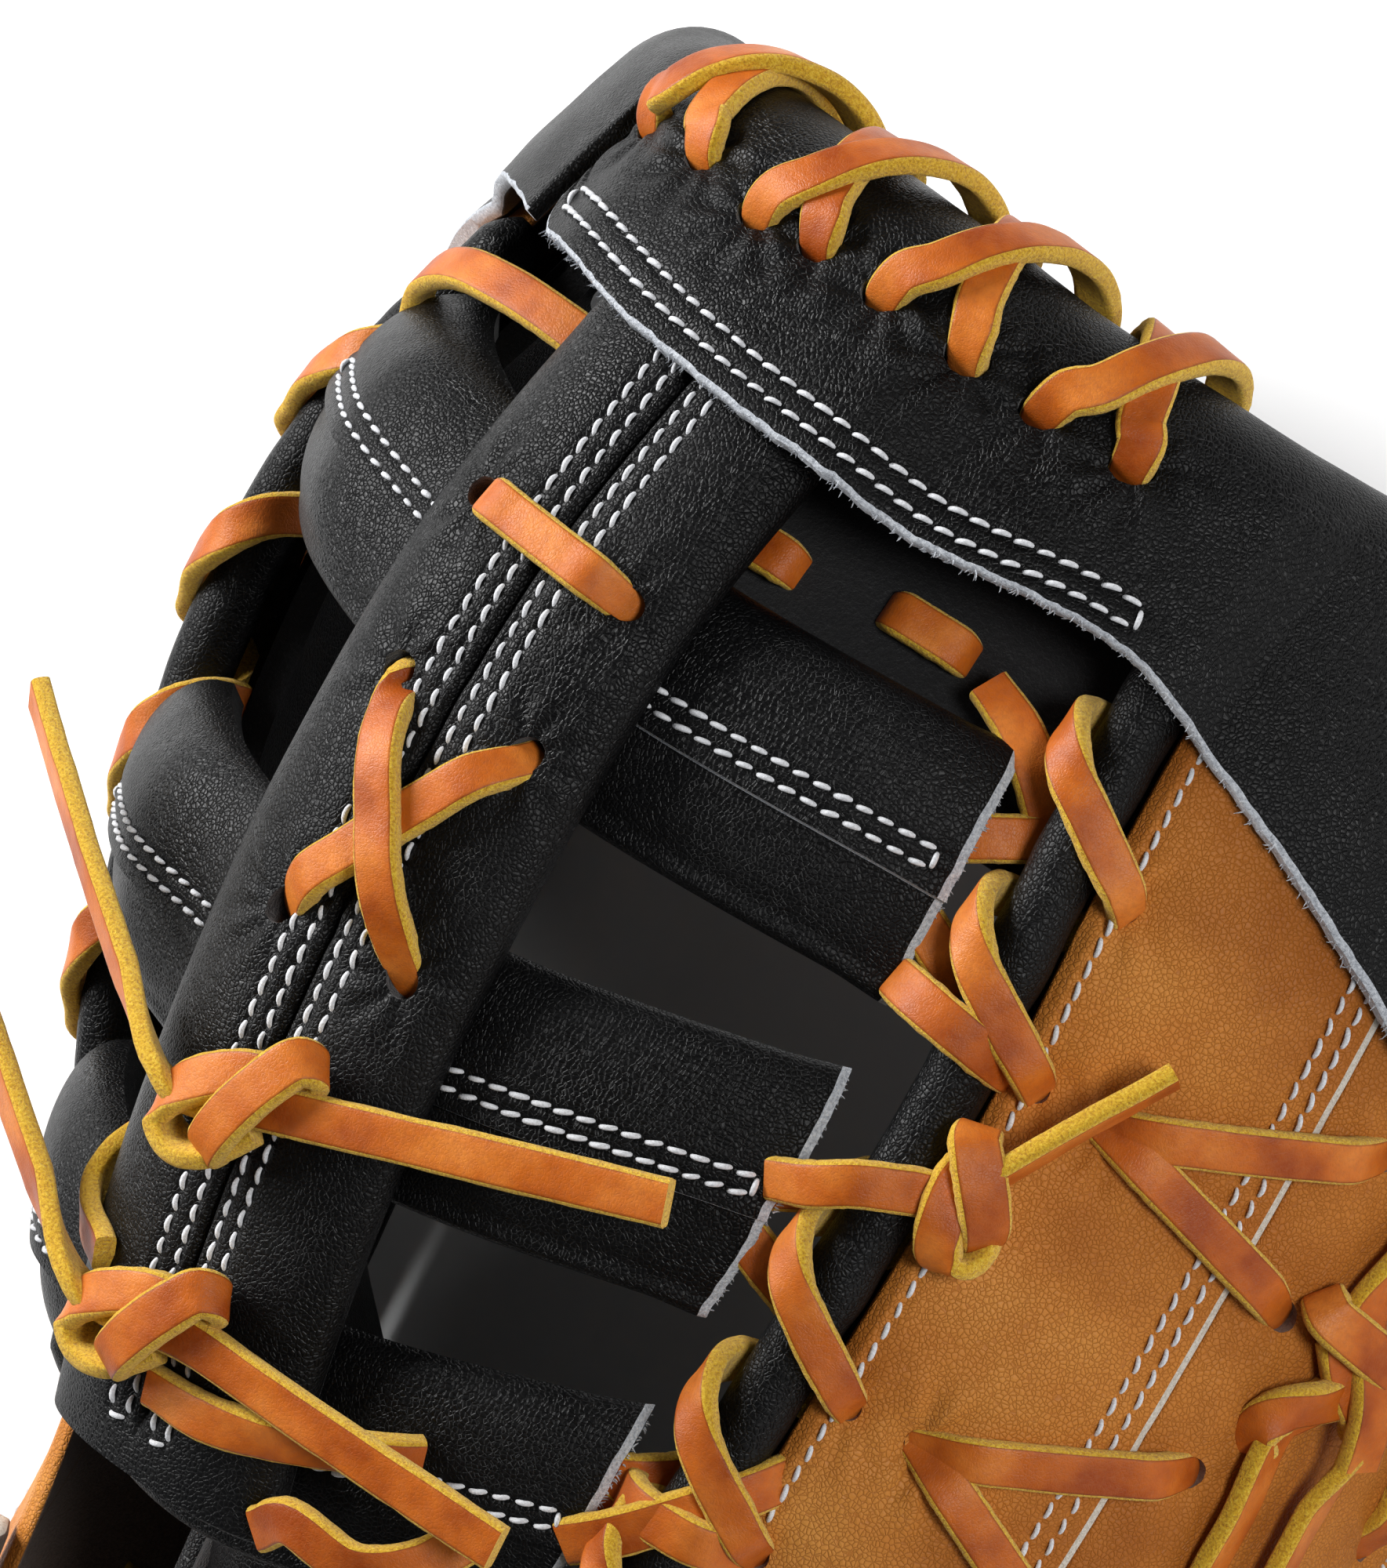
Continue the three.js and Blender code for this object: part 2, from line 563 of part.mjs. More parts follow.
// Spiral round a roll and through the back panel beside it; holes are shares of LENGTH.
// Each turn's points: base, off the roll's middle (outward), along past the hole, lift over the base
const THUMB_HOLES = [0.425, 0.495, 0.564, 0.711, 0.789];
const FINGER_HOLES = [0.43, 0.518, 0.606, 0.694, 0.78];
const SPIRAL_SLANT = 50; // degrees between a turn and the way to the top
const SPIRAL_TURN = [
  ['deep', HOLE_OFF + 1.5, -3, -1],
  ['hole', HOLE_OFF - 0.5, 0, 1],
  ['top', 0.5 * HOLE_OFF, 3.5, 3],
  ['over', -0.4 * ROLL, 9, 0.2],
  ['roll', -ROLL - 4, 13, 1],
  ['under', -0.6 * ROLL, 13.5, -0.95],
  ['under', ROLL, 12, -0.25],
];
function spiral(side, holes) {
  const slant = 90 + side * SPIRAL_SLANT;
  const points = holes.flatMap((hole) => {
    const along = hole * LENGTH;
    const web = section.web(along);
    const { top, deep } = backLevel(side * (web + HOLE_OFF), along);
    const bases = {
      top,
      deep,
      hole: (top + deep) / 2,
      roll: ROLL_LIFT,
      over: ROLL_LIFT + ROLL + HALF_LACE + LAYER,
      under: ROLL_LIFT - ROLL - HALF_LACE,
    };
    return SPIRAL_TURN.map(([base, off, past, lift]) => (
      [side * (web + off), along + past, bases[base] + lift, slant]));
  });
  return [{ points, cuts: 1 }];
}

// Two V laces in the thumb's panels, each from a hole to both sides of the seam
const laceThumbV = (hole, ends) => ends.map((end) => thread(placed([end, hole]), backLevel));
const laceThumbVUpper = laceThumbV([1.19, 0.709], [[1.51, 0.672], [1.54, 0.751]]);
const laceThumbVLower = laceThumbV([1.19, 0.561], [[1.47, 0.512], [1.50, 0.598]]);

// Loose laces with a knot. Rows: across and along from the knot, lift over its middle
const routed = ([across, along], lift, rows) => (
  { points: headed(rows.map(([a, s, h]) => [across + a, along + s, lift + h])), cuts: 1 });

// Knot beside the thumb roll, with one strap over the roll and one tail
const THUMB_KNOT = { place: 1.12, along: 0.653, off: 12, heading: 35 };
const THUMB_KNOT_ROWS = [[-20, 6, -11.1], [-16.6, 4, -6.2], [-12, 2, -2.8], [0, 0, 0.8], [7, 12, 2.5],
  [15, 26, 3.2]];
function thumbKnot() {
  const along = THUMB_KNOT.along * LENGTH;
  const lift = outer(THUMB_KNOT.place, along) + KNOT_LIFT;
  const centre = [section.web(along) + THUMB_KNOT.off, along];
  return [routed(centre, lift, THUMB_KNOT_ROWS), wrap(centre, lift, THUMB_KNOT.heading)];
}

// Knot on the side of the thumb, with three tails
const SIDE_KNOT = { place: 1.7, along: 0.6, heading: 65 };
const SIDE_STRAP = [[8, 36, -1.2], [3, 17, 0], [0, 0, 0.8], [-8, -20, 0], [-13, -44, -1.2]];
const SIDE_TAIL = [[1, 1, 0.2], [-12, -7, 1], [-22, -11, -0.6]];
function sideKnot() {
  const along = SIDE_KNOT.along * LENGTH;
  const centre = [toAcross(SIDE_KNOT.place, along), along];
  const lift = outer(SIDE_KNOT.place, along) + KNOT_LIFT;
  const routes = [SIDE_STRAP, SIDE_TAIL].map((rows) => routed(centre, lift, rows));
  return [...routes, wrap(centre, lift, SIDE_KNOT.heading)];
}

// Laces over the top edge, crossing in pairs: places on the band, hole line of LENGTH
const TOP_PAIRS = [
  { over: -0.42, under: -0.21, along: 0.957 },
  { over: -0.035, under: 0.096, along: 0.945 },
  { over: 0.245, under: 0.42, along: 0.94 },
  { over: 0.57, under: 0.746, along: 0.936 },
];
const TOP_REACH = 0.3; // slant of the upper lace of a pair, as a place
const TOP_BACK = -0.16; // slant of the lower lace
const TOP_STEPS = 5; // steps round the fold
const TOP_SHALLOW = 5; // depth below the holes of the runs inside the fold
const TOP_DEEP = 15;
const TOP_HEADING = 30; // rise of a lace over the band, against its reach
const TOP_CLIMB = 3; // depth of its hole's point below the band's face and line
function overTop(from, reach, along, rise, deepStart) {
  const to = from + reach;
  const heading = toDegrees(Math.atan2(TOP_HEADING, reach * WEB));
  const low = along * LENGTH;
  const points = [];
  const row = (place, s, lift) => points.push([toAcross(place, s), s, lift, heading]);
  row(from, low - (deepStart ? TOP_DEEP : TOP_SHALLOW), 0);
  row(from, low - TOP_CLIMB, bandLift(from, low) - TOP_CLIMB);
  for (let i = 0; i <= TOP_STEPS; i += 1) {
    const place = mix(from, to, mix(0.2, 0.8, i / TOP_STEPS));
    const turn = topEdge(place) - FOLD;
    const high = bandLift(place, turn) + BAND;
    const deep = -half(place, turn) - LAYER - BAND;
    const angle = Math.PI * (i / TOP_STEPS);
    const off = HALF_LACE + LAYER + rise * Math.sin(angle) ** 2;
    const s = turn + (FOLD + BAND + off) * Math.sin(angle);
    row(place, s, (high + deep) / 2 + ((high - deep) / 2 + off) * Math.cos(angle));
  }
  row(to, low - TOP_CLIMB, -half(to, low) + 2);
  row(to, low - (deepStart ? TOP_SHALLOW : TOP_DEEP), 0);
  return points;
}
function laceTop() {
  const points = TOP_PAIRS.flatMap((pair) => [
    ...overTop(pair.over, TOP_REACH, pair.along, LACE_THICK + CLEAR, true),
    ...overTop(pair.under, TOP_BACK, pair.along, 0, false),
  ]);
  return [{ points, cuts: 1 }];
}

// Plain running lace along an outer edge
const RIM_STITCHES = 4;
const RIM_LACE = { from: 0.1, to: 0.68, place: 1.88 };
function rimLace(side) {
  const stops = [];
  for (let i = 0; i < 2 * RIM_STITCHES; i += 1) {
    const along = LENGTH * mix(RIM_LACE.from, RIM_LACE.to, i / (2 * RIM_STITCHES - 1));
    stops.push([toAcross(side * RIM_LACE.place, along), along]);
  }
  return [thread(stops, backLevel)];
}

// Colours and surfaces
const finish = (color, roughness) => new THREE.MeshStandardMaterial({ color, roughness, metalness: 0 });
const blackLeather = finish(0x17171a, 0.5);
const tanLeather = finish(0xb5702f, 0.55);
const laceLeather = finish(0xd97c38, 0.6);

// Pieces
const leather = {
  palm_panel: [palmPanel(), blackLeather],
  thumb_back: [backPanel(pastRoll(1), seamAt(THUMB_SEAM), 5), tanLeather],
  thumb_side: [backPanel(pastSeam(THUMB_SEAM), () => PANEL_EDGE, 6), tanLeather],
  finger_back: [backPanel(pastRoll(-1), seamAt(FINGER_SEAM), 5), tanLeather],
  finger_side: [backPanel(pastSeam(FINGER_SEAM), () => -PANEL_EDGE, 5), tanLeather],
  back_bridge: [crossStrap(BRIDGE, 18), tanLeather],
  wrist_strap: [crossStrap(STRAP, 18), tanLeather],
  heel_binding: [heelRoll(), blackLeather],
  tip_band: [foldedCap(BAND_ENDS, 20), blackLeather],
  finger_cap: [foldedCap(CAP_ENDS, 9), blackLeather],
  web_post: [webPost(), blackLeather],
  web_bar_1: [webBar(BARS[0]), blackLeather],
  web_bar_2: [webBar(BARS[1]), blackLeather],
  web_bar_3: [webBar(BARS[2]), blackLeather],
  roll_thumb: [webRoll(1), blackLeather],
  roll_finger: [webRoll(-1), blackLeather],
  rim_thumb: [rim(1), blackLeather],
  rim_finger: [rim(-1), blackLeather],
};

const laces = {
  lace_top: laceTop(),
  lace_post_strap: lacePostStrap,
  lace_post_cross: lacePostCross,
  lace_post_knot_upper: lacePostKnotUpper,
  lace_post_knot_lower: lacePostKnotLower,
  lace_web_thumb: spiral(1, THUMB_HOLES),
  lace_web_finger: spiral(-1, FINGER_HOLES),
  lace_thumb_v_upper: laceThumbVUpper,
  lace_thumb_v_lower: laceThumbVLower,
  lace_thumb_knot: thumbKnot(),
  lace_side_knot: sideKnot(),
  lace_rim_thumb: rimLace(1),
  lace_rim_finger: rimLace(-1),
};

const group = new THREE.Group();
function addPiece(name, solid, material) {
  const mesh = new THREE.Mesh(fromSolid(solid), material);
  mesh.name = name;
  group.add(mesh);
}

// Every lace cuts its own way, a little wider than itself, through the leather it meets
const cutters = Object.values(laces).map((routes) => joined(routes.map((route) => ribbon(route, CLEAR))));
for (const [name, [solid, material]] of Object.entries(leather)) {
  addPiece(name, cutters.reduce((rest, cutter) => rest.subtract(cutter), solid), material);
}
for (const [name, routes] of Object.entries(laces)) {
  addPiece(name, joined(routes.map((route) => ribbon(route))), laceLeather);
}

// The origin lies under the middle of the mitt, on the ground
const bounds = new THREE.Box3().setFromObject(group);
const middlePoint = bounds.getCenter(new THREE.Vector3());
group.children.forEach((mesh) => mesh.position.set(-middlePoint.x, -middlePoint.y, -bounds.min.z));

export default group;
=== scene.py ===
import math

import bpy
import numpy as np
from mathutils import Matrix


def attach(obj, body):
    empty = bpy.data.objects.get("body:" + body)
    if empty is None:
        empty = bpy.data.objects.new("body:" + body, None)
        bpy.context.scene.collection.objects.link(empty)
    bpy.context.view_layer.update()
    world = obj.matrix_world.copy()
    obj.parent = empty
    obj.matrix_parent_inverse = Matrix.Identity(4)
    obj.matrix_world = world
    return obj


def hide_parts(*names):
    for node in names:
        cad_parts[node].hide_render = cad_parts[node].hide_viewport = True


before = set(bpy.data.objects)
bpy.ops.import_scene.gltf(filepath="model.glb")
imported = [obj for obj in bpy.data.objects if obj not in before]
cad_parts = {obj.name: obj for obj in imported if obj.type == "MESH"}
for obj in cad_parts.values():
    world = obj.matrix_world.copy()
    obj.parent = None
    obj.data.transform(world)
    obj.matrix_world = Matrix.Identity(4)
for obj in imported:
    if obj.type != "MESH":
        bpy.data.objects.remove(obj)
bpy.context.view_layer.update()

# ---------------------------------------------------------------- sizes, in millimetres
LENGTH, RIDGE, WEB, THUMB, FINGER = 314.0, 136.0, 78.0, 92.0, 105.0
SHIFT = np.array([-0.9941, -156.9858, 0.0])
CLEAR, LAYER, STRAP_GAP = 0.4, 0.95, 0.6
LEATHER, PAD, PAD_EDGE = 2.8, 10.7, 4.0
HALF_WEB, HALF_EDGE, THUMB_BULGE, FINGER_BULGE = 7.0, 4.5, 8.0, 9.0
HEEL_ROOM, HEEL_END, HEEL_FADE, BULGE_POWER, TIP_FADE, TIP_SHARE = 26.0, 150.0, 45.0, 1.2, 45.0, 0.25
RIM, RIM_FLAT, ROLL, ROLL_LIFT, HEEL_ROLL, ROLL_SIDES = 5.0, 1.3, 4.6, 4.9, 5.5, 28
TOP_LINE, THUMB_CORNER, FINGER_CORNER, CORNER_FROM, CORNER_SHARE = 0.994, 75.0, 85.0, 1.1, 0.97
TOP_SLANT, FOLD, TUCK, FLAP, BAND, BAND_EASE, BAND_DROP = 6.0, 10.0, 8.0, 24.0, 2.6, 14.0, 14.0
POST_WIDTH, POST_SHIFT, POST_BASE, POST_THICK, POST_SKIVE = 41.0, 2.0, 4.4, 7.6, 1.4
BAR_WIDTH, BAR_BASE, BAR_THICK, BAR_SKIVE, BAR_PUFF, BAR_WALL = 36.0, -3.2, 7.2, 2.4, 5.0, 2.0
TUBE_POWER = 2.6
LACE_WIDTH, LACE_THICK, LACE_BODY, HALF_LACE, HOLE_OFF, DIVE = 6.2, 2.3, 2.7, 1.15, 9.0, 3.0
BEHIND, DENSER = 0.8, 1.25
POST_TOP = POST_BASE + POST_THICK

COLUMNS = ["along", "ridge", "lean", "web", "webTurnT", "webTurnF", "thumb", "turnT", "finger", "turnF",
           "shift"]
SECTIONS = np.array([
    [0.000, 0.493, 2, 0.56, 23, 28, 0.78, 47, 0.70, 49, 0],
    [0.204, 0.643, 1, 0.66, 30, 47, 0.90, 47, 0.72, 38, 0],
    [0.366, 0.831, -1, 0.80, 42, 70, 1.00, 40, 0.80, -14, -0.02],
    [0.540, 0.963, 3, 0.95, 45, 65, 1.04, 38, 0.95, 22, -0.02],
    [0.693, 1.000, 6, 1.00, 46, 61, 1.04, 38, 1.02, 38, -0.02],
    [0.795, 0.985, 6, 0.97, 45, 58, 1.04, 38, 1.02, 40, -0.02],
    [0.897, 0.916, 6, 0.90, 44, 60, 1.00, 38, 0.98, 38, -0.02],
    [1.000, 0.815, 6, 0.84, 42, 60, 0.92, 38, 0.90, 38, -0.03]])
SCALES = {"along": LENGTH, "ridge": RIDGE, "web": WEB, "thumb": THUMB, "finger": FINGER, "shift": WEB}
RAW_EDGE = [(-2, 0.74), (-1.45, 0.845), (-1, 0.905), (-0.4, 0.899), (0, 0.881), (0.5, 0.868),
            (1, 0.863), (1.14, 0.842), (1.45, 0.79), (2, 0.70)]
BARS = [(0.822, 0.772, 0.768, 1.0), (0.624, 0.592, 0.622, 1.0), (0.472, 0.424, 0.466, 0.94)]
THUMB_SEAM, FINGER_SEAM = (1.36, 1.46), (-1.42, -1.5)
SIDE_KNOT = (140.0, 209.5)
# Stitches, and how far their rows lie from the edge of the leather
STITCH, PITCH, THREAD_R, SKEW = 2.6, 3.1, 0.37, 10
ROLL_STITCHES, SEAM_STITCHES, EDGE_STITCHES, STRAP_STITCHES = 2.6, (3.4, 6.0), 3.5, 2.8
# Lift of the stitches over the leather, and half axes of the lace holes
SEWN = {"post": 0.12, "bar": 0.1, "band": 0.1, "strap": -0.1, "back": -0.12}
HOLE_OVALS = {"post": (2.7, 2.2), "band": (2.5, 3.1), "back": (2.5, 2.1)}


# ---------------------------------------------------------------- the middle surface
def smooth(x):
    x = np.clip(x, 0, 1)
    return x * x * (3 - 2 * x)


def mix(a, b, t):
    return a + (b - a) * t


def bell(d, width):
    return np.exp(-(d / width) ** 2)


def pair(a, b):
    return np.broadcast_arrays(np.asarray(a, float), np.asarray(b, float))


def side_of(a):
    """1 on the thumb's side of the ridge, -1 on the finger's."""
    return np.where(np.asarray(a) >= 0, 1.0, -1.0)


def curve(xs, ys):
    xs, ys = np.array(xs, float), np.array(ys, float)
    slopes = np.gradient(ys, xs)

    def f(x):
        x = np.asarray(x, float)
        i = np.clip(np.searchsorted(xs, x, side="left") - 1, 0, len(xs) - 2)
        h = xs[i + 1] - xs[i]
        t = np.clip((x - xs[i]) / h, -0.3, 1.3)
        t2, t3 = t * t, t * t * t
        return ((2 * t3 - 3 * t2 + 1) * ys[i] + (t3 - 2 * t2 + t) * h * slopes[i]
                + (3 * t2 - 2 * t3) * ys[i + 1] + (t3 - t2) * h * slopes[i + 1])
    return f


section = {name: curve(SECTIONS[:, 0] * LENGTH, SECTIONS[:, k] * SCALES.get(name, 1))
           for k, name in enumerate(COLUMNS) if k}
raw_edge = curve([r[0] for r in RAW_EDGE], [r[1] * LENGTH for r in RAW_EDGE])


def middle(a, s):
    a, s = pair(a, s)
    side = side_of(a)
    web = section["web"](s)
    arm = np.where(side > 0, section["thumb"](s), section["finger"](s))
    t1 = np.radians(np.where(side > 0, section["webTurnT"](s), section["webTurnF"](s)))
    t2 = np.radians(np.where(side > 0, section["turnT"](s), section["turnF"](s)))
    start = np.radians(section["lean"](s)) * side
    d = np.abs(a)
    k1, d1 = t1 / web, np.minimum(d, web)
    x = (np.sin(start + k1 * d1) - np.sin(start)) / k1
    z = (np.cos(start + k1 * d1) - np.cos(start)) / k1
    t2 = np.where(np.abs(t2) < 1e-6, 1e-6, t2)
    k2, d2, s2 = t2 / arm, np.clip(d - web, 0, arm), start + t1
    x = x + (np.sin(s2 + k2 * d2) - np.sin(s2)) / k2
    z = z + (np.cos(s2 + k2 * d2) - np.cos(s2)) / k2
    rest, end = np.maximum(d - web - arm, 0), s2 + t2
    x = x + rest * np.cos(end)
    z = z - rest * np.sin(end)
    return np.stack([side * x + section["shift"](s), s, z + section["ridge"](s)], -1)


def unit(v):
    return v / np.maximum(np.linalg.norm(v, axis=-1, keepdims=True), 1e-9)


def frame_at(a, s):
    a, s = pair(a, s)
    da = unit(middle(a + 0.5, s) - middle(a - 0.5, s))
    ds = unit(middle(a, s + 0.5) - middle(a, s - 0.5))
    return da, ds, unit(np.cross(da, ds))


def at(a, s, h):
    return middle(a, s) + frame_at(a, s)[2] * np.asarray(h, float)[..., None]


def rim_table(side):
    s = np.arange(-30.0, LENGTH + 40, 1.0)
    near = section["web"](s)
    far = near + 1.6 * (section["thumb"](s) if side > 0 else section["finger"](s))
    for _ in range(40):
        tried = (near + far) / 2
        up = middle(side * tried, s)[:, 2] > RIM - RIM_FLAT
        near, far = np.where(up, tried, near), np.where(up, far, tried)
    return s, near


RIM_TABLES = {side: rim_table(side) for side in (1, -1)}


def rim_across(side, s):
    s = np.asarray(s, float)
    return np.where(np.asarray(side) > 0, np.interp(s, *RIM_TABLES[1]), np.interp(s, *RIM_TABLES[-1]))


def edge_across(side, s):
    return rim_across(side, s) - RIM - CLEAR


def to_across(p, s):
    p, s = pair(p, s)
    side = side_of(p)
    web, q = section["web"](s), np.abs(p)
    return side * np.where(q <= 1, q * web, mix(web, edge_across(side, s), q - 1))


def to_place(a, s):
    a, s = pair(a, s)
    side = side_of(a)
    web, q = section["web"](s), np.abs(a)
    return side * np.where(q <= web, q / web, 1 + (q - web) / (edge_across(side, s) - web))


def put(p, s, h):
    return at(to_across(p, s), s, h)


def spot(p, s, h):
    """Row of (across, along, lift) from a place."""
    return float(to_across(p, s)), float(s), float(h)


def heading(start, end):
    return math.degrees(math.atan2(end[1] - start[1], end[0] - start[0]))


def top_edge(p):
    side = side_of(p)
    straight = LENGTH * TOP_LINE - TOP_SLANT * np.minimum(1, np.abs(p)) * side
    u = CORNER_SHARE * np.maximum(0, (np.abs(p) - CORNER_FROM) / (2 - CORNER_FROM))
    corner = np.where(side > 0, THUMB_CORNER, FINGER_CORNER)
    return straight - corner * (1 - np.sqrt(np.maximum(0, 1 - u * u)))


def half(p, s):
    u = np.maximum(0, np.abs(p) - 1)
    bulge = np.where(np.asarray(p) > 0, THUMB_BULGE, FINGER_BULGE)
    fade = mix(TIP_SHARE, 1, smooth((top_edge(p) - s) / TIP_FADE))
    return mix(HALF_WEB, HALF_EDGE, u) + bulge * fade * np.sin(np.pi * np.clip(u, 0, 1)) ** BULGE_POWER


def heel_share(p, s):
    u = np.maximum(0, np.abs(p) - 1)
    return smooth((HEEL_END - s) / HEEL_FADE) * (1 - u * u)


def inner(p, s):
    return -half(p, s) - HEEL_ROOM * heel_share(p, s)


def padding(p, s):
    u = np.clip(np.abs(p) - 1, 0, 1)
    return mix(PAD_EDGE, PAD, np.maximum(np.sqrt(np.abs(np.sin(np.pi * u))), heel_share(p, s)))


def band_lift(p, s):
    off = np.abs(to_across(p, s) - POST_SHIFT) - POST_WIDTH / 2
    over_roll = ROLL_LIFT + ROLL + CLEAR
    on_web = mix(POST_BASE + POST_THICK + LAYER, over_roll, smooth(off / BAND_EASE))
    beside = over_roll - BAND_DROP * (np.abs(p) - 1)
    return np.maximum(np.where(np.abs(p) <= 1, on_web, beside), half(p, s) + LAYER)


# ---------------------------------------------------------------- materials
def node(tree, kind, **values):
    n = tree.nodes.new(kind)
    for key, value in values.items():
        if hasattr(n, key):
            setattr(n, key, value)
        else:
            n.inputs[key.replace("_", " ")].default_value = value
    return n


def ramp(tree, fac, stops):
    n = tree.nodes.new("ShaderNodeValToRGB")
    n.color_ramp.elements[0].position, n.color_ramp.elements[0].color = stops[0][0], (*stops[0][1], 1)
    n.color_ramp.elements[1].position, n.color_ramp.elements[1].color = stops[-1][0], (*stops[-1][1], 1)
    for pos, col in stops[1:-1]:
        e = n.color_ramp.elements.new(pos)
        e.color = (*col, 1)
    tree.links.new(fac, n.inputs[0])
    return n.outputs[0]


def greys(tree, fac, *stops):
    """Ramp of greys from (position, brightness) stops."""
    return ramp(tree, fac, [(place, (value, value, value)) for place, value in stops])


def feed(tree, socket, value):
    """Sets a socket to a colour or number, or links an output to it."""
    if isinstance(value, tuple):
        socket.default_value = (*value, 1)
    elif isinstance(value, (int, float)):
        socket.default_value = value
    else:
        tree.links.new(value, socket)


def maths(tree, op, a, b):
    n = tree.nodes.new("ShaderNodeMath")
    n.operation = op
    for socket, value in zip(n.inputs, (a, b)):
        feed(tree, socket, value)
    return n.outputs[0]


def blend(tree, fac, a, b):
    n = tree.nodes.new("ShaderNodeMix")
    n.data_type, n.blend_type = "RGBA", "MIX"
    for k, value in ((0, fac), (6, a), (7, b)):
        feed(tree, n.inputs[k], value)
    return n.outputs[2]


def noise(tree, coords, scale, detail=3.0, rough=0.55):
    n = node(tree, "ShaderNodeTexNoise", Scale=scale, Detail=detail, Roughness=rough)
    tree.links.new(coords, n.inputs["Vector"])
    return n.outputs[0]


def start_material(name, roughness, specular, **more):
    m = bpy.data.materials.new(name)
    m.use_nodes = True
    t = m.node_tree
    shader = t.nodes["Principled BSDF"]
    shader.inputs["Roughness"].default_value = roughness
    shader.inputs["Specular IOR Level"].default_value = specular
    for key, value in more.items():
        shader.inputs[key.replace("_", " ")].default_value = value
    coords = t.nodes.new("ShaderNodeTexCoord").outputs["Object"]
    return m, t, shader, coords


def bump(tree, shader, layers):
    last = None
    for height, strength, distance in layers:
        n = node(tree, "ShaderNodeBump", Strength=strength, Distance=distance)
        tree.links.new(height, n.inputs["Height"])
        if last:
            tree.links.new(last, n.inputs["Normal"])
        last = n.outputs[0]
    tree.links.new(last, shader.inputs["Normal"])


def grain_height(tree, coords, scale):
    """Pebbled grain: rounded cells, warped."""
    warp = node(tree, "ShaderNodeTexNoise", Scale=scale * 0.35, Detail=2.0)
    tree.links.new(coords, warp.inputs["Vector"])
    add = tree.nodes.new("ShaderNodeVectorMath")
    add.operation = "MULTIPLY_ADD"
    tree.links.new(warp.outputs["Color"], add.inputs[0])
    add.inputs[1].default_value = (0.9 / scale,) * 3
    tree.links.new(coords, add.inputs[2])
    cells = node(tree, "ShaderNodeTexVoronoi", feature="DISTANCE_TO_EDGE", Scale=scale)
    tree.links.new(add.outputs[0], cells.inputs["Vector"])
    return greys(tree, cells.outputs["Distance"], (0.0, 0.0), (0.14, 0.7), (0.45, 1.0))


def leather_material(name, dark, mid, light, roughness, scale, depth, wrinkle, specular):
    m, t, shader, coords = start_material(name, roughness, specular)
    cells = grain_height(t, coords, scale)
    clouds = noise(t, coords, 28, 4)
    fine = noise(t, coords, scale * 2.2, 2)
    colour = ramp(t, clouds, [(0.3, dark), (0.52, mid), (0.75, light)])
    # Painted shade: the grain's pits, near the cells' edges, are blended up to 55% towards the dark colour to
    # stand in for their shade and missing sheen.
    colour = blend(t, greys(t, cells, (0.0, 0.55), (0.6, 0.0)), colour, dark)
    colour = blend(t, greys(t, noise(t, coords, 9, 2), (0.35, 0.0), (0.7, 0.4)), colour, dark)
    t.links.new(colour, shader.inputs["Base Color"])
    rough = greys(t, noise(t, coords, 60, 3), (0.3, roughness - 0.06), (0.7, roughness + 0.08))
    t.links.new(rough, shader.inputs["Roughness"])
    folds = noise(t, coords, 220, 4, 0.6)
    bump(t, shader, [(folds, wrinkle, 0.0006), (cells, depth, 0.00025), (fine, 0.10, 0.0001)])
    return m


def lace_grain(name):
    """Orange outer face: UV x runs over the width from 0 to 1, y along in units of 10 mm."""
    m, t, shader, coords = start_material(name, 0.42, 0.26)
    uv = t.nodes.new("ShaderNodeUVMap").outputs[0]
    sep = t.nodes.new("ShaderNodeSeparateXYZ")
    t.links.new(uv, sep.inputs[0])
    off = maths(t, "ABSOLUTE", maths(t, "SUBTRACT", sep.outputs[0], 0.5), 0.0)
    shake = maths(t, "MULTIPLY", maths(t, "SUBTRACT", noise(t, coords, 900, 3), 0.5), 0.06)
    wobble = maths(t, "ADD", off, shake)
    cloud = noise(t, coords, 75, 4)
    colour = ramp(t, cloud, [(0.34, (0.33, 0.056, 0.004)), (0.5, (0.55, 0.125, 0.010)),
                             (0.68, (0.72, 0.22, 0.032))])
    streaks = greys(t, noise(t, coords, 1500, 2), (0.42, 0.0), (0.72, 0.35))
    colour = blend(t, streaks, colour, (0.40, 0.11, 0.03))
    edge = greys(t, wobble, (0.38, 0.0), (0.435, 0.7), (0.455, 0.85))
    colour = blend(t, edge, colour, (0.16, 0.035, 0.006))
    t.links.new(colour, shader.inputs["Base Color"])
    t.links.new(greys(t, noise(t, coords, 140, 3), (0.3, 0.34), (0.7, 0.52)), shader.inputs["Roughness"])
    fold = node(t, "ShaderNodeTexWave", Scale=18.0, Distortion=9.0, Detail=3.0, bands_direction="Y")
    t.links.new(uv, fold.inputs["Vector"])
    bump(t, shader, [(fold.outputs["Fac"], 0.10, 0.0003), (grain_height(t, coords, 1900), 0.22, 0.00015),
                     (noise(t, coords, 420, 4), 0.25, 0.0004)])
    return m


def flesh_material(name, dark, mid, light, scale=2600):
    """Fuzzy cut edge or flesh side."""
    m, t, shader, coords = start_material(name, 0.95, 0.1, Sheen_Weight=0.25, Sheen_Roughness=0.6)
    fibres = noise(t, coords, scale, 4, 0.7)
    colour = ramp(t, fibres, [(0.3, dark), (0.5, mid), (0.68, light)])
    t.links.new(colour, shader.inputs["Base Color"])
    bump(t, shader, [(fibres, 0.9, 0.0005), (noise(t, coords, 600, 3), 0.5, 0.0005)])
    return m


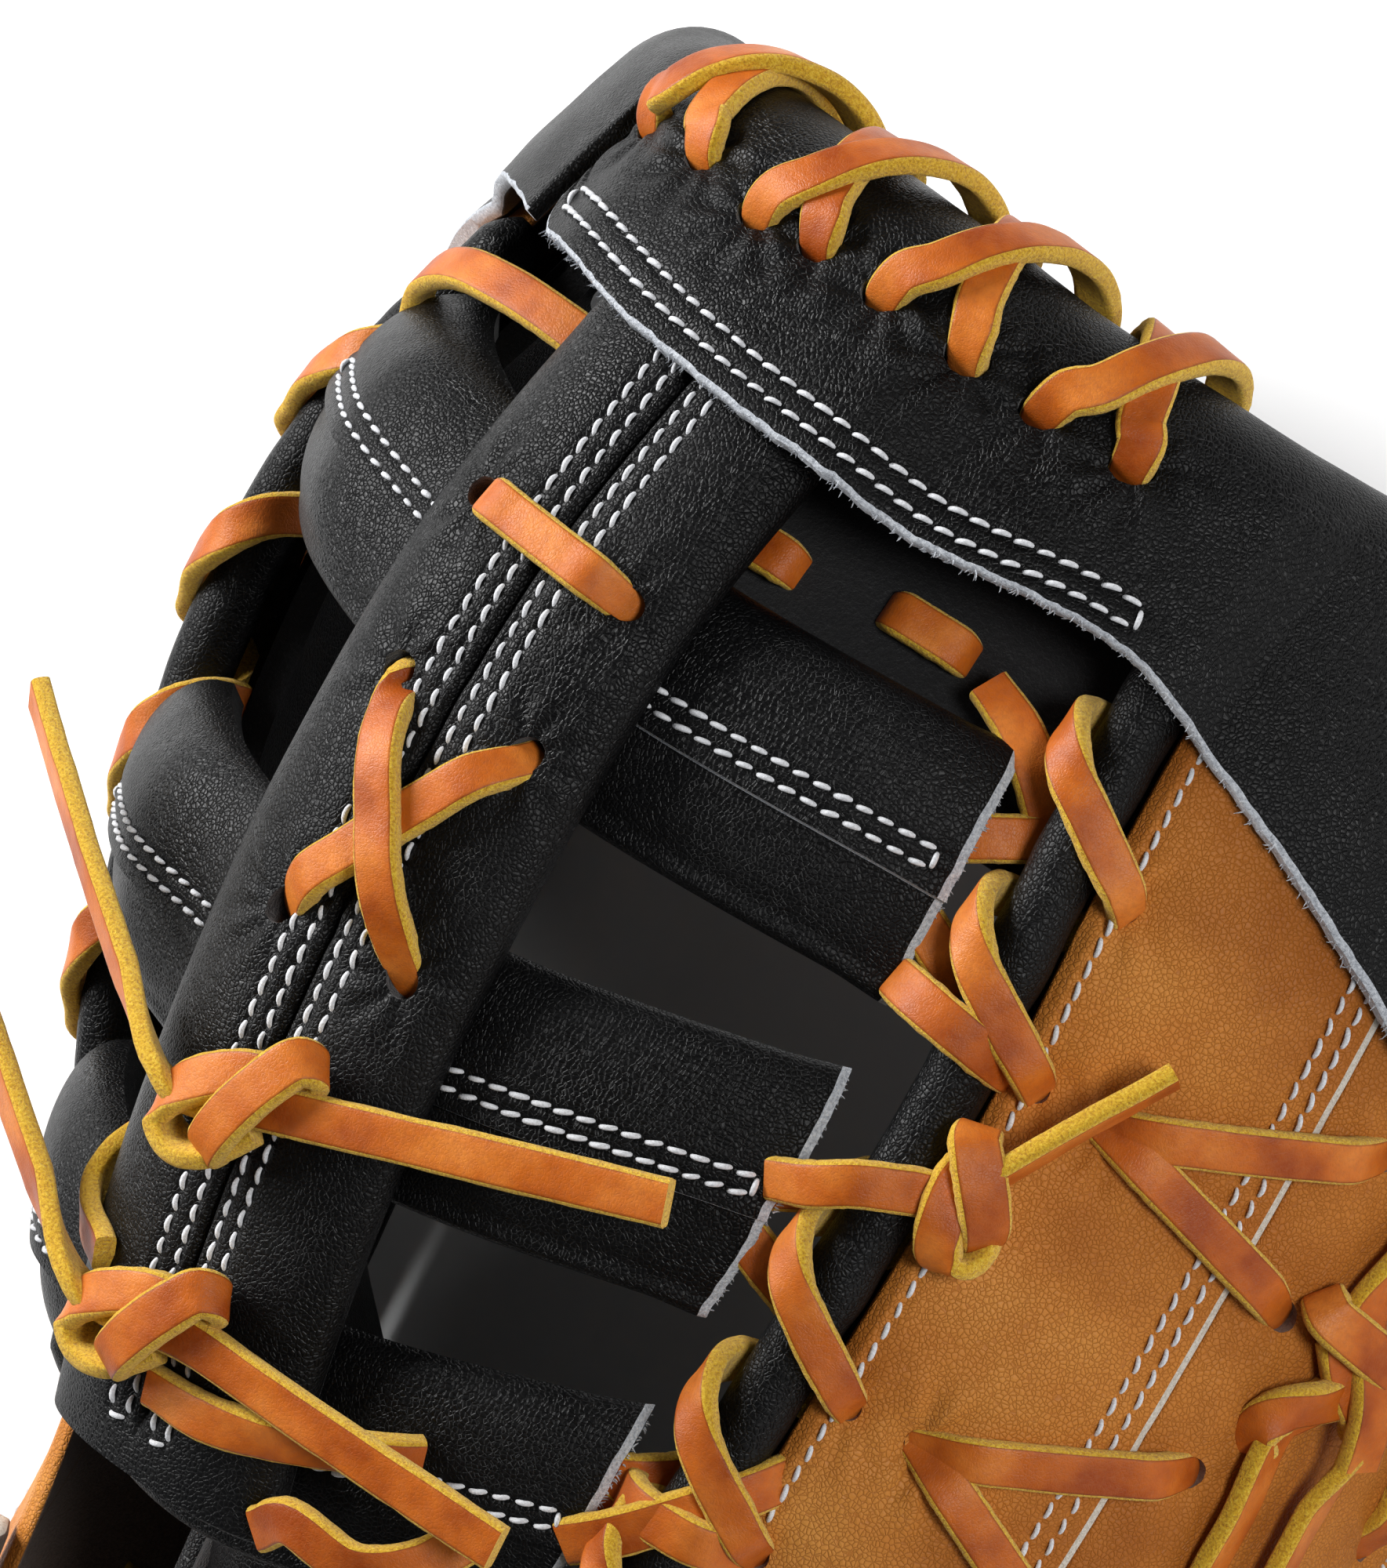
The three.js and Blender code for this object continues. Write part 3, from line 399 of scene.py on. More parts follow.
def thread_material(name, colour):
    m, t, shader, coords = start_material(name, 0.75, 0.25, Sheen_Weight=0.2)
    twist = noise(t, coords, 3500, 2)
    colours = ramp(t, twist, [(0.3, tuple(c * 0.72 for c in colour)), (0.6, colour)])
    t.links.new(colours, shader.inputs["Base Color"])
    bump(t, shader, [(twist, 0.5, 0.00015)])
    return m


BLACK = leather_material("black_leather", (0.0010, 0.0010, 0.0011), (0.0030, 0.0030, 0.0034),
                         (0.0075, 0.0072, 0.0074), 0.41, 1500, 0.48, 0.30, 0.20)
TAN = leather_material("tan_leather", (0.37, 0.110, 0.014), (0.585, 0.212, 0.034), (0.75, 0.33, 0.068),
                       0.50, 1500, 0.60, 0.34, 0.18)
GRAIN = lace_grain("lace_grain")
FLESH = flesh_material("lace_flesh", (0.46, 0.19, 0.003), (0.80, 0.45, 0.010), (0.96, 0.68, 0.06))
RAW = flesh_material("raw_edge", (0.28, 0.30, 0.34), (0.54, 0.57, 0.62), (0.80, 0.83, 0.87), 2200)
RAW_TAN = flesh_material("raw_edge_tan", (0.52, 0.44, 0.34), (0.72, 0.65, 0.55), (0.86, 0.80, 0.70), 2200)
# The two inner-face materials below also colour the walls of the lace holes, as painted shade there.
SUEDE_AND_HOLE_SHADE = flesh_material("inside_tan_and_hole_shade", (0.12, 0.062, 0.035), (0.20, 0.115, 0.070), (0.28, 0.17, 0.11), 1800)
DARK = flesh_material("inside_black_and_hole_shade", (0.002, 0.002, 0.002), (0.004, 0.004, 0.005), (0.009, 0.009, 0.01),
                      1800)
THREAD = thread_material("white_thread", (0.80, 0.81, 0.84))


# ---------------------------------------------------------------- mesh helpers
def object_from(name, points, quads, mats, faces_mat=None, uv=None, smooth_angle=50, tris=None):
    """points in mm before the shift; quads (n, 4); faces_mat (n,); uv per vertex."""
    pts = (np.asarray(points, float).reshape(-1, 3) + SHIFT) / 1000
    quads = np.asarray(quads, np.int32).reshape(-1, 4)
    tris = np.zeros((0, 3), np.int32) if tris is None else np.asarray(tris, np.int32)
    me = bpy.data.meshes.new(name)
    me.vertices.add(len(pts))
    me.vertices.foreach_set("co", pts.ravel())
    loops = np.concatenate([quads.ravel(), tris.ravel()])
    me.loops.add(len(loops))
    me.loops.foreach_set("vertex_index", loops)
    sizes = np.repeat([4, 3], [len(quads), len(tris)]).astype(np.int32)
    me.polygons.add(len(sizes))
    me.polygons.foreach_set("loop_start", np.concatenate([[0], np.cumsum(sizes)[:-1]]).astype(np.int32))
    if faces_mat is not None:
        me.polygons.foreach_set("material_index", np.asarray(faces_mat, np.int32))
    me.update(calc_edges=True)
    me.validate()
    if uv is not None:
        layer = me.uv_layers.new(name="UVMap")
        layer.data.foreach_set("uv", np.asarray(uv, float).reshape(-1, 2)[loops].ravel())
    for m in mats:
        me.materials.append(m)
    me.polygons.foreach_set("use_smooth", np.ones(len(sizes), bool))
    me.set_sharp_from_angle(angle=math.radians(smooth_angle))
    ob = bpy.data.objects.new(name, me)
    bpy.context.scene.collection.objects.link(ob)
    return ob


def outward(points, quads, tris=None):
    """Turns the faces so that the body is not inside out."""
    p = points.reshape(-1, 3)
    a, b, c, d = (p[quads[:, k]] for k in range(4))
    volume = np.einsum("ij,ij->i", a, np.cross(b, c) + np.cross(c, d)).sum()
    if volume < 0:
        quads = quads[:, ::-1]
        tris = None if tris is None else tris[:, ::-1]
    return quads, tris


def own(ob, slot, *nodes):
    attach(ob, "root")
    if nodes:
        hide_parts(*nodes)
    return ob


def spaced(n, edge):
    """n steps from 0 to 1 with two short ones at each end."""
    inner_part = np.linspace(edge, 1 - edge, n)
    return np.concatenate([[0, edge * 0.35], inner_part, [1 - edge * 0.35, 1]])


def grid_quads(nu, nv):
    i, j = np.meshgrid(np.arange(nu - 1), np.arange(nv - 1), indexing="ij")
    a = i * nv + j
    return np.stack([a, a + nv, a + nv + 1, a + 1], -1).reshape(-1, 4)


def ring_angles(sides):
    return np.linspace(0, 2 * np.pi, sides, endpoint=False)


def ring_quads(n, m):
    """Faces between n closed rings of m points, with the index of each point and of the next one."""
    idx = np.arange(n * m).reshape(n, m)
    nxt = np.roll(idx, -1, axis=1)
    return np.stack([idx[:-1], nxt[:-1], nxt[1:], idx[1:]], -1), idx, nxt


def closed_tube(rings):
    """Points, faces and end fans of the tube through rings (n, m, 3)."""
    n, m = rings.shape[:2]
    quads, idx, nxt = ring_quads(n, m)
    pts, fans = [rings.reshape(-1, 3)], []
    for row in (0, -1):
        pts.append(rings[row].mean(axis=0)[None])
        fan = np.stack([np.full(m, n * m - row), idx[row], nxt[row]], -1)
        fans.append(fan if row else fan[:, ::-1])
    return np.concatenate(pts), quads.reshape(-1, 4), np.concatenate(fans)


def bodies(name, V, mats, face_mat=0, angle=80):
    """One object from equal closed bodies V (count, rings, sides, 3)."""
    count, rings, sides = V.shape[:3]
    quads = ring_quads(rings, sides)[0].reshape(-1, 4)
    last = (rings - 1) * sides
    inside = range(1, sides - 1)
    tris = np.array([(0, k + 1, k) for k in inside] + [(last, last + k, last + k + 1) for k in inside])
    quads, tris = outward(V[0].reshape(-1, 3), quads, tris)
    offs = np.arange(count)[:, None, None] * rings * sides
    quads, tris = (quads + offs).reshape(-1, 4), (tris + offs).reshape(-1, 3)
    faces_mat = np.full(len(quads) + len(tris), face_mat)
    return object_from(name, V.reshape(-1, 3), quads, mats, faces_mat, None, angle, tris)


def run_of(points):
    """Length of the polyline up to each of its points."""
    return np.concatenate([[0], np.cumsum(np.linalg.norm(np.diff(points, axis=0), axis=1))])


def between(k, rows):
    """Values of rows at the broken row numbers k."""
    steps = np.arange(len(rows))
    if rows.ndim == 1:
        return np.interp(k, steps, rows)
    return np.stack([np.interp(k, steps, rows[:, c]) for c in range(rows.shape[1])], -1)


def shell(name, us, vs, top, bottom, mats, rims=(0, 0, 0, 0), square=0.18, raw=(0, 0, 0, 0), under=None):
    """Leather sheet between two faces. rims: material of the edges at u=0, u=1, v=0, v=1.
    raw: how far, in shares of u or v, the cut edge's colour runs over the top there."""
    U, V = np.meshgrid(us, vs, indexing="ij")
    T, B = top(U, V), bottom(U, V)
    nu, nv = U.shape
    depth = np.zeros((nu, nv))
    for k, amount in ((1, square * 0.3), (0, square)):
        for line in (np.s_[k, :], np.s_[-1 - k, :], np.s_[:, k], np.s_[:, -1 - k]):
            depth[line] = np.maximum(depth[line], amount)
    d = depth[..., None]
    T2, B2 = T + (B - T) * d, B + (T - B) * d
    pts = np.concatenate([T2.reshape(-1, 3), B2.reshape(-1, 3)])
    quads = grid_quads(nu, nv)
    n = nu * nv
    all_quads = [quads, quads[:, ::-1] + n]
    cu, cv = (U[:-1, :-1] + U[1:, 1:]) / 2, (V[:-1, :-1] + V[1:, 1:]) / 2
    top_mat = ((cu < raw[0]) | (cu > 1 - raw[1]) | (cv < raw[2]) | (cv > 1 - raw[3])).astype(int)
    mat = [top_mat.reshape(-1), np.full(len(quads), len(mats) - 1 if under is None else under)]
    idx = np.arange(n).reshape(nu, nv)
    edges = ((idx[0, :], 1), (idx[-1, :], 0), (idx[:, 0], 0), (idx[:, -1], 1))
    for (line, flip), m in zip(edges, rims):
        q = np.stack([line[:-1], line[:-1] + n, line[1:] + n, line[1:]], -1)
        all_quads.append(q[:, ::-1] if flip else q)
        mat.append(np.full(len(q), m))
    quads, _ = outward(pts, np.concatenate(all_quads))
    uv = np.concatenate([np.stack([U, V], -1).reshape(-1, 2)] * 2)
    return object_from(name, pts, quads, mats, np.concatenate(mat), uv)


def tube(name, centre, e1, e2, radii, floor=False):
    """Black roll that replaces the node name, through centre (n, 3), with side vectors e1 and e2 and
    radii (n, ROLL_SIDES)."""
    turn = ring_angles(ROLL_SIDES)[None, :, None]
    out = e1[:, None, :] * np.cos(turn) + e2[:, None, :] * np.sin(turn)
    rings = centre[:, None, :] + out * radii[..., None]
    if floor:
        rings[..., 2] = np.maximum(rings[..., 2], 0.0)
    pts, quads, tris = closed_tube(rings)
    quads, tris = outward(pts, quads, tris)
    ob = object_from(name + "_leather", pts, quads, [BLACK], None, None, 60, tris)
    own(ob, "black_leather", name)


def ripple(x, y, seed, scale=1.0, octaves=4):
    """Smooth repeatable noise from summed waves, about -1 to 1."""
    rng = np.random.default_rng(seed)
    total = np.zeros(np.broadcast(x, y).shape)
    for k in range(octaves):
        for _ in range(4):
            ang, phase = rng.uniform(0, 2 * np.pi, 2)
            f = scale * 2 ** k * rng.uniform(0.7, 1.3)
            total = total + np.sin((x * np.cos(ang) + y * np.sin(ang)) * f + phase) / (1.8 ** k) / 4
    return total


# ---------------------------------------------------------------- laces: routes
def centripetal(points, cuts):
    """Catmull-Rom curve with centripetal spacing: points and tangents, cuts per span."""
    P = np.asarray(points, float)
    P = np.concatenate([[2 * P[0] - P[1]], P, [2 * P[-1] - P[-2]]])
    out, tan = [], []
    for i in range(1, len(P) - 2):
        last = i == len(P) - 3
        T = np.linspace(0, 1, cuts + last, endpoint=last)[:, None]
        d0, d1, d2 = (max(np.linalg.norm(P[i + k] - P[i + k - 1]), 1e-4) ** 0.5 for k in range(3))
        p0, p1, p2, p3 = P[i - 1:i + 3]
        m1 = ((p1 - p0) / d0 - (p2 - p0) / (d0 + d1) + (p2 - p1) / d1) * d1
        m2 = ((p2 - p1) / d1 - (p3 - p1) / (d1 + d2) + (p3 - p2) / d2) * d1
        out.append((2 * T**3 - 3 * T**2 + 1) * p1 + (T**3 - 2 * T**2 + T) * m1
                   + (3 * T**2 - 2 * T**3) * p2 + (T**3 - T**2) * m2)
        tan.append((6 * T**2 - 6 * T) * p1 + (3 * T**2 - 4 * T + 1) * m1
                   + (6 * T - 6 * T**2) * p2 + (3 * T**2 - 2 * T) * m2)
    return np.concatenate(out), unit(np.concatenate(tan))


def strap_section():
    """Rounded rectangle from -0.5 to 0.5; the first points run over the outer face."""
    outer_x = np.array([-0.49, -0.43, -0.36, -0.18, 0, 0.18, 0.36, 0.43, 0.49])
    outer_z = np.array([0.34, 0.47, 0.5, 0.5, 0.5, 0.5, 0.5, 0.47, 0.34])
    side = [(0.515, 0.1), (0.51, -0.15), (0.495, -0.33), (0.46, -0.46), (0.34, -0.5), (0.12, -0.5)]
    low = side + [(-x, z) for x, z in side[::-1]]
    return np.concatenate([np.stack([outer_x, outer_z], 1), np.array(low)])


SECTION = strap_section()
OUTER_POINTS = 9    # how many of them lie on the outer face


def strap(rows, cuts=8, seed=1):
    """Lace mesh data through rows of (across, along, lift, heading[, width share])."""
    rows = [tuple(r) + (1.0,) * (5 - len(r)) for r in rows]
    a, s, h, head, wide = np.array(rows, float).T
    P, tan = centripetal(at(a, s, h), cuts)
    da, ds, nrm = frame_at(a, s)
    ang = np.radians(head)[:, None]
    side = unit(np.cross(da * np.cos(ang) + ds * np.sin(ang), nrm))
    k = np.linspace(0, len(rows) - 1, len(P))
    side = between(k, side)
    side = unit(side - tan * np.sum(side * tan, -1, keepdims=True))
    return strap_mesh(P, tan, side, between(k, wide), seed)


def strap_mesh(P, tan, side, wide, seed):
    """Lace through P with uneven width and cut edges. wide: width share at each point."""
    up = np.cross(side, tan)
    n, m = len(P), len(SECTION)
    run = run_of(P)
    sx, sz = SECTION[:, 0][None, :], SECTION[:, 1][None, :]
    point = np.arange(m)
    fuzz = ripple(run[:, None] * np.ones((1, m)), point[None, :] * 1.7, seed, 1.9, 3)
    fuzz = np.where(point[None, :] >= OUTER_POINTS - 1, fuzz * 0.10, fuzz * 0.02)
    slow = 1 + 0.035 * ripple(run, run * 0, seed + 7, 0.16, 2)
    x = sx * (LACE_WIDTH * wide * slow)[:, None] + fuzz * np.sign(sx)
    z = sz * (LACE_BODY * (1 + (1 - wide) * 0.45))[:, None]
    z = z + 0.10 * ripple(run[:, None], sx * 5, seed + 3, 0.5, 2)
    rings = P[:, None, :] + side[:, None, :] * x[..., None] + up[:, None, :] * z[..., None]
    pts, quads, tris = closed_tube(rings)
    mat = np.where((point > 0) & (point < OUTER_POINTS - 2), 0, 1)[None, :].repeat(n - 1, 0)
    uv = np.stack(np.broadcast_arrays(sx + 0.5, run[:, None] / 10), -1).reshape(-1, 2)
    uv = np.concatenate([uv, np.zeros((2, 2))])
    return {"pts": pts, "quads": quads, "mat": mat.reshape(-1), "tris": tris, "uv": uv}


def lace_object(name, parts, *nodes):
    """One object from several straps."""
    pts, quads, tris, base = [], [], [], 0
    for part in parts:
        q, t = outward(part["pts"], part["quads"], part["tris"])
        pts.append(part["pts"])
        quads.append(q + base)
        tris.append(t + base)
        base += len(part["pts"])
    tris = np.concatenate(tris)
    mats = np.concatenate([part["mat"] for part in parts] + [np.ones(len(tris))])
    uv = np.concatenate([part["uv"] for part in parts])
    ob = object_from(name, np.concatenate(pts), np.concatenate(quads), [GRAIN, FLESH], mats, uv, 75, tris)
    return own(ob, "lace_leather", *nodes)


def lace(node_name, *parts):
    lace_object(node_name + "_leather", parts, node_name)


def headed(rows):
    """Rows with the heading from the row before to the row after."""
    out = []
    for i, r in enumerate(rows):
        out.append((*r[:3], heading(rows[max(0, i - 1)], rows[min(len(rows) - 1, i + 1)]), r[3]))
    return out


def post_level(a, s):
    return POST_TOP, POST_BASE - HALF_LACE - CLEAR


def back_level(a, s):
    top = float(half(to_place(a, s), s))
    return top, top - LEATHER - HALF_LACE - BEHIND


HOLES = {"post": [], "back": [], "band": []}


def thread(stops, level, where, rises=()):
    """Lace over and under by turns, through a hole at each stop."""
    rows = []
    for i in range(len(stops) - 1):
        (a0, s0), (a1, s1) = stops[i], stops[i + 1]
        head = heading(stops[i], stops[i + 1])
        over = i % 2 == 0
        for t in ((0.17, 0.33, 0.5, 0.67, 0.83) if over else (0.3, 0.7)):
            a, s = mix(a0, a1, t), mix(s0, s1, t)
            top, deep = level(a, s)
            lift = top + HALF_LACE + 0.25 + (rises[i] if i < len(rises) and 0.3 < t < 0.7 else 0)
            rows.append((a, s, lift if over else deep, head, 0.97 if over else 0.9))
        top, deep = level(a1, s1)
        rows.append((a1, s1, (top + deep) / 2, head, 0.8))
        HOLES[where].append((a1, s1, head))

    def hidden(p, q):
        d = np.array([q[0] - p[0], q[1] - p[1]])
        d = d / np.linalg.norm(d) * DIVE
        a, s = q[0] + d[0], q[1] + d[1]
        return a, s, level(a, s)[1], math.degrees(math.atan2(d[1], d[0]))
    top, deep = level(*stops[0])
    first = (*stops[0], (top + deep) / 2, rows[0][3], 0.8)
    HOLES[where].append((*stops[0], rows[0][3]))
    back = hidden(stops[1], stops[0])
    rows = [(back[0], back[1], back[2], back[3] + 180, 0.9), first] + rows
    rows.append((*hidden(stops[-2], stops[-1]), 0.9))
    return rows


def set_pose(ob, x, y, z, position):
    """Turns ob's axes to x, y, z and puts it at position in metres."""
    rows = [[*row, p] for row, p in zip(np.stack([x, y, z], 1), position)]
    ob.matrix_world = Matrix(rows + [[0, 0, 0, 1]])


def share(rows):
    """Millimetres from shares of the web's half width and of the length."""
    return [(a * WEB, s * LENGTH) for a, s in rows]


# ---------------------------------------------------------------- camera, light and floor
AZ, TILT, ROLL_ANGLE = math.radians(39), math.radians(4), math.radians(28.9)
TARGET = np.array([24.15, 234.9, 121.95])
back_dir = np.array([math.sin(AZ) * math.cos(TILT), math.sin(TILT), math.cos(AZ) * math.cos(TILT)])
top_dir = np.array([-math.sin(TILT) * math.sin(AZ), math.cos(TILT), -math.cos(AZ) * math.sin(TILT)])
cross_dir = np.cross(top_dir, back_dir)
right_dir = cross_dir * math.cos(ROLL_ANGLE) + top_dir * math.sin(ROLL_ANGLE)
up_dir = -cross_dir * math.sin(ROLL_ANGLE) + top_dir * math.cos(ROLL_ANGLE)
DISTANCE, VIEW_HEIGHT, SENSOR = 1100.0, 200.0, 36.0

camera = bpy.data.objects.new("camera", bpy.data.cameras.new("camera"))
bpy.context.scene.collection.objects.link(camera)
place_at = (TARGET + SHIFT + back_dir * DISTANCE) / 1000
set_pose(camera, right_dir, up_dir, back_dir, place_at)
camera.data.sensor_width = SENSOR
camera.data.lens = SENSOR * DISTANCE / VIEW_HEIGHT
camera.data.clip_start, camera.data.clip_end = 0.05, 20
bpy.context.scene.camera = camera


def area_light(name, position, aim, size, power):
    data = bpy.data.lights.new(name, "AREA")
    data.shape, data.size, data.energy = "DISK", size, power
    ob = bpy.data.objects.new(name, data)
    bpy.context.scene.collection.objects.link(ob)
    d = unit(np.array(position, float) - np.array(aim, float))
    x = unit(np.cross([0.02, 0.05, 1.0], d))
    set_pose(ob, x, np.cross(d, x), d, position)


FLOOR_EDGE, FLOOR_Z = 6000.0, -0.05
area_light("key_light", (-0.95, 0.35, 1.05), (0.02, 0.05, 0.1), 0.6, 26)
area_light("side_light", (1.3, 0.45, 0.85), (0.02, 0.05, 0.08), 0.5, 12)
area_light("low_light", (-1.0, -0.35, 1.0), (0.02, 0.05, 0.1), 0.5, 6)

world = bpy.data.worlds.new("studio")
bpy.context.scene.world = world
world.use_nodes = True
world.node_tree.nodes["Background"].inputs[0].default_value = (0.95, 0.97, 1.0, 1)
world.node_tree.nodes["Background"].inputs[1].default_value = 0.11
bpy.context.scene.view_settings.view_transform = "Standard"

floor_mat, floor_tree, floor_shader, floor_coords = start_material("floor_pale", 0.8, 0.2)
floor_pale = greys(floor_tree, noise(floor_tree, floor_coords, 3, 2), (0.3, 0.92), (0.7, 0.94))
floor_tree.links.new(floor_pale, floor_shader.inputs["Base Color"])
floor_points = [(x * FLOOR_EDGE, y * FLOOR_EDGE, FLOOR_Z) for x, y in ((-1, -1), (1, -1), (1, 1), (-1, 1))]
floor = object_from("floor", floor_points, [(0, 1, 2, 3)], [floor_mat])


# ---------------------------------------------------------------- stitches
def stitch_rows(name, rows, seed=1, slot="black_leather"):
    """rows: lists of (across, along, lift) polylines in mm. One capsule per stitch, its ends sunk in
    the leather."""
    rng = np.random.default_rng(seed)
    tau = np.array([-1.0, -0.82, -0.45, 0.0, 0.45, 0.82, 1.0])
    rad = THREAD_R * np.array([0.45, 0.82, 1.0, 1.04, 1.0, 0.82, 0.45])
    lift = 0.28 - 0.62 * tau**2
    turn = ring_angles(6)[None, None, :, None]
    stitches = []
    for row in rows:
        row = np.asarray(row, float)
        route = between(np.linspace(0, len(row) - 1, len(row) * 12), row).T
        run = run_of(at(*route))
        count = max(1, int(round(run[-1] / PITCH)))
        mids = (np.arange(count) + 0.5) * run[-1] / count
        here, before, after = ([np.interp(mids + d, run, v) for v in route] for d in (0, -0.6, 0.6))
        C, N = at(*here), frame_at(*here[:2])[2]
        D = unit(at(*after) - at(*before))
        D = unit(D - N * np.sum(D * N, -1, keepdims=True))
        S = np.cross(N, D)
        skew = np.radians(rng.normal(SKEW, 3, count))[:, None]
        D, S = D * np.cos(skew) + S * np.sin(skew), S * np.cos(skew) - D * np.sin(skew)
        size = rng.normal(1, 0.05, count)[:, None, None]
        reach = STITCH / 2 * run[-1] / count / PITCH
        body = D[:, None, :] * (tau * reach)[None, :, None] * size + N[:, None, :] * lift[None, :, None]
        ring = S[:, None, None, :] * np.cos(turn) + N[:, None, None, :] * np.sin(turn)
        ring = ring * (rad[None, :, None, None] * size[..., None])
        stitches.append(C[:, None, None, :] + body[:, :, None, :] + ring)
    return own(bodies(name, np.concatenate(stitches), [THREAD]), slot)


def groove(d, width=0.7, depth=0.35):
    return -depth * bell(d, width)


# ---------------------------------------------------------------- holes
def hole_cutters(holes, lift_from, lift_to, name, oval):
    """Oval punches through the leather, as one mesh. oval: half axes along and across the lace."""
    turn = ring_angles(20)[:, None]
    punches = []
    for a, s, head in holes:
        da, ds, _ = frame_at(a, s)
        c, q = math.cos(math.radians(head)), math.sin(math.radians(head))
        e, f = da * c + ds * q, ds * c - da * q
        ring = e[None] * (np.cos(turn) * oval[0]) + f[None] * (np.sin(turn) * oval[1])
        punches.append([at(a, s, lift(a, s))[None] + ring for lift in (lift_from, lift_to)])
    # The punches' walls take slot 2 of the piece they cut, its dark inner-face material, in place of the pale
    # cut-edge colour: painted shade inside the lace holes.
    return bodies(name, np.array(punches), [BLACK, DARK, DARK], 2, 50)


def cut(ob, cutter):
    """Takes the cutter's body out of ob and deletes the cutter."""
    mod = ob.modifiers.new("cut", "BOOLEAN")
    mod.operation, mod.object, mod.solver = "DIFFERENCE", cutter, "MANIFOLD"
    before = len(ob.data.polygons)
    mesh = bpy.data.meshes.new_from_object(ob.evaluated_get(bpy.context.evaluated_depsgraph_get()))
    ob.modifiers.clear()
    if len(mesh.polygons) > before // 3:
        mesh.set_sharp_from_angle(angle=math.radians(50))
        old, name = ob.data, ob.data.name
        ob.data = mesh
        bpy.data.meshes.remove(old)
        mesh.name = name
    else:
        print("cut failed on", ob.name)
    junk = cutter.data
    bpy.data.objects.remove(cutter)
    bpy.data.meshes.remove(junk)


def fringe(name, base, out, along, seed, reach=(0.4, 1.5)):
    """Loose fibres of a raw edge: tapered prisms that leave base (n, 3) roughly towards out."""
    rng = np.random.default_rng(seed)
    n = len(base)
    lean, rise = rng.normal(0, 0.7, (n, 1)), rng.normal(0, 0.35, (n, 1))
    D = unit(out + along * lean + np.cross(out, along) * rise)
    E = unit(np.cross(D, along + 0.3 * out))
    F = np.cross(D, E)
    length = rng.uniform(*reach, (n, 1, 1)) * rng.uniform(0.4, 1, (n, 1, 1))
    steps = np.array([-0.3, 0.35, 0.75, 1.0])[None, :, None]
    bend = np.array([0, 0.02, 0.12, 0.28])[None, :, None]
    thick = np.array([0.13, 0.11, 0.08, 0.04])[None, :, None, None]
    curl = rng.normal(0, 1, (n, 1, 1))
    mids = base[:, None, :] + D[:, None, :] * steps * length
    mids = mids + (E[:, None, :] * curl + F[:, None, :] * 0.6) * bend * length
    turn = ring_angles(3)[None, None, :, None]
    ring = E[:, None, None, :] * np.cos(turn) + F[:, None, None, :] * np.sin(turn)
    return own(bodies(name, mids[:, :, None, :] + ring * thick, [RAW]), "black_leather")


# ---------------------------------------------------------------- web post
def tube_round(x):
    return np.sqrt(np.maximum(0, 1 - np.abs(x) ** TUBE_POWER))


SLIT = 2.9
POST_ROWS, POST_SEWN = (-4.9, -2.2, 2.2, 4.9), (131, 284)


def post_lift(a, s):
    x = np.clip((a - POST_SHIFT) / (POST_WIDTH / 2), -1, 1)
    d = a - SLIT
    on = smooth((s - 128) / 6)
    lift = POST_BASE + mix(POST_SKIVE, POST_THICK, tube_round(x))
    lift = lift - 0.9 * on * bell(d, 4.5) - 1.5 * on * bell(d, 0.55)
    for row in POST_ROWS:
        lift = lift + groove(d - row, 0.6, 0.38) * on
    holes = HOLES["post"]
    wave = 0.36 * ripple(a, s, 5, 0.07, 5) + dimples(a, s, holes, 0.8, 3.4) + puckers(a, s, holes)
    return lift + wave * tube_round(x)


POST_S = (0.395 * LENGTH, 0.93 * LENGTH)


def make_post():
    def where(U, V):
        return POST_SHIFT + (2 * U - 1) * POST_WIDTH / 2, mix(*POST_S, V)

    def top(U, V):
        a, s = where(U, V)
        return at(a, s, post_lift(a, s))

    def bottom(U, V):
        a, s = where(U, V)
        return at(a, s, POST_BASE + 0.0 * a)

    def sewn(row, s):
        return SLIT + row, s, post_lift(SLIT + row, s) + SEWN["post"]
    ob = shell("web_post_leather", spaced(130, 0.008), spaced(196, 0.004), top, bottom, [BLACK, RAW, DARK],
               rims=(0, 0, 1, 0), square=0.35)
    cut(ob, hole_cutters(HOLES["post"], lambda a, s: POST_BASE - 3, lambda a, s: POST_TOP + 4,
                         "post_holes", HOLE_OVALS["post"]))
    own(ob, "black_leather", "web_post")
    first, last = POST_SEWN
    rows = [[sewn(row, s) for s in np.linspace(first, last, 40)] for row in POST_ROWS]
    for two in (POST_ROWS[:2], POST_ROWS[2:]):
        ends = [sewn(row, first) for row in np.linspace(*two, 6)]
        rows.append([(a, s - 0.6, h) for a, s, h in ends])
    stitch_rows("stitches_post", rows, 3)


# ---------------------------------------------------------------- web bars
BAR_ENDS, PUFF_FROM, PUFF_EASE = (-0.86, 0.86), -0.3, 0.3
SEAM_Y, BAR_ROWS = -0.19, (0.10, -0.04)


def bar_middle(bar, p):
    return LENGTH * curve([-1, 0.1, 0.88], bar[:3])(p)


def bar_lift(p, y):
    puff = BAR_PUFF * smooth((PUFF_FROM - p) / PUFF_EASE)
    r = tube_round(y)
    lift = BAR_BASE + mix(BAR_SKIVE, BAR_THICK, r) + puff * r
    step = smooth((y - SEAM_Y) / 0.012)
    lift = lift - 1.5 * (1 - step) * smooth((y + 1) / 0.2)
    for row in BAR_ROWS:
        lift = lift + groove((y - row) * 18, 0.6, 0.35)
    return lift


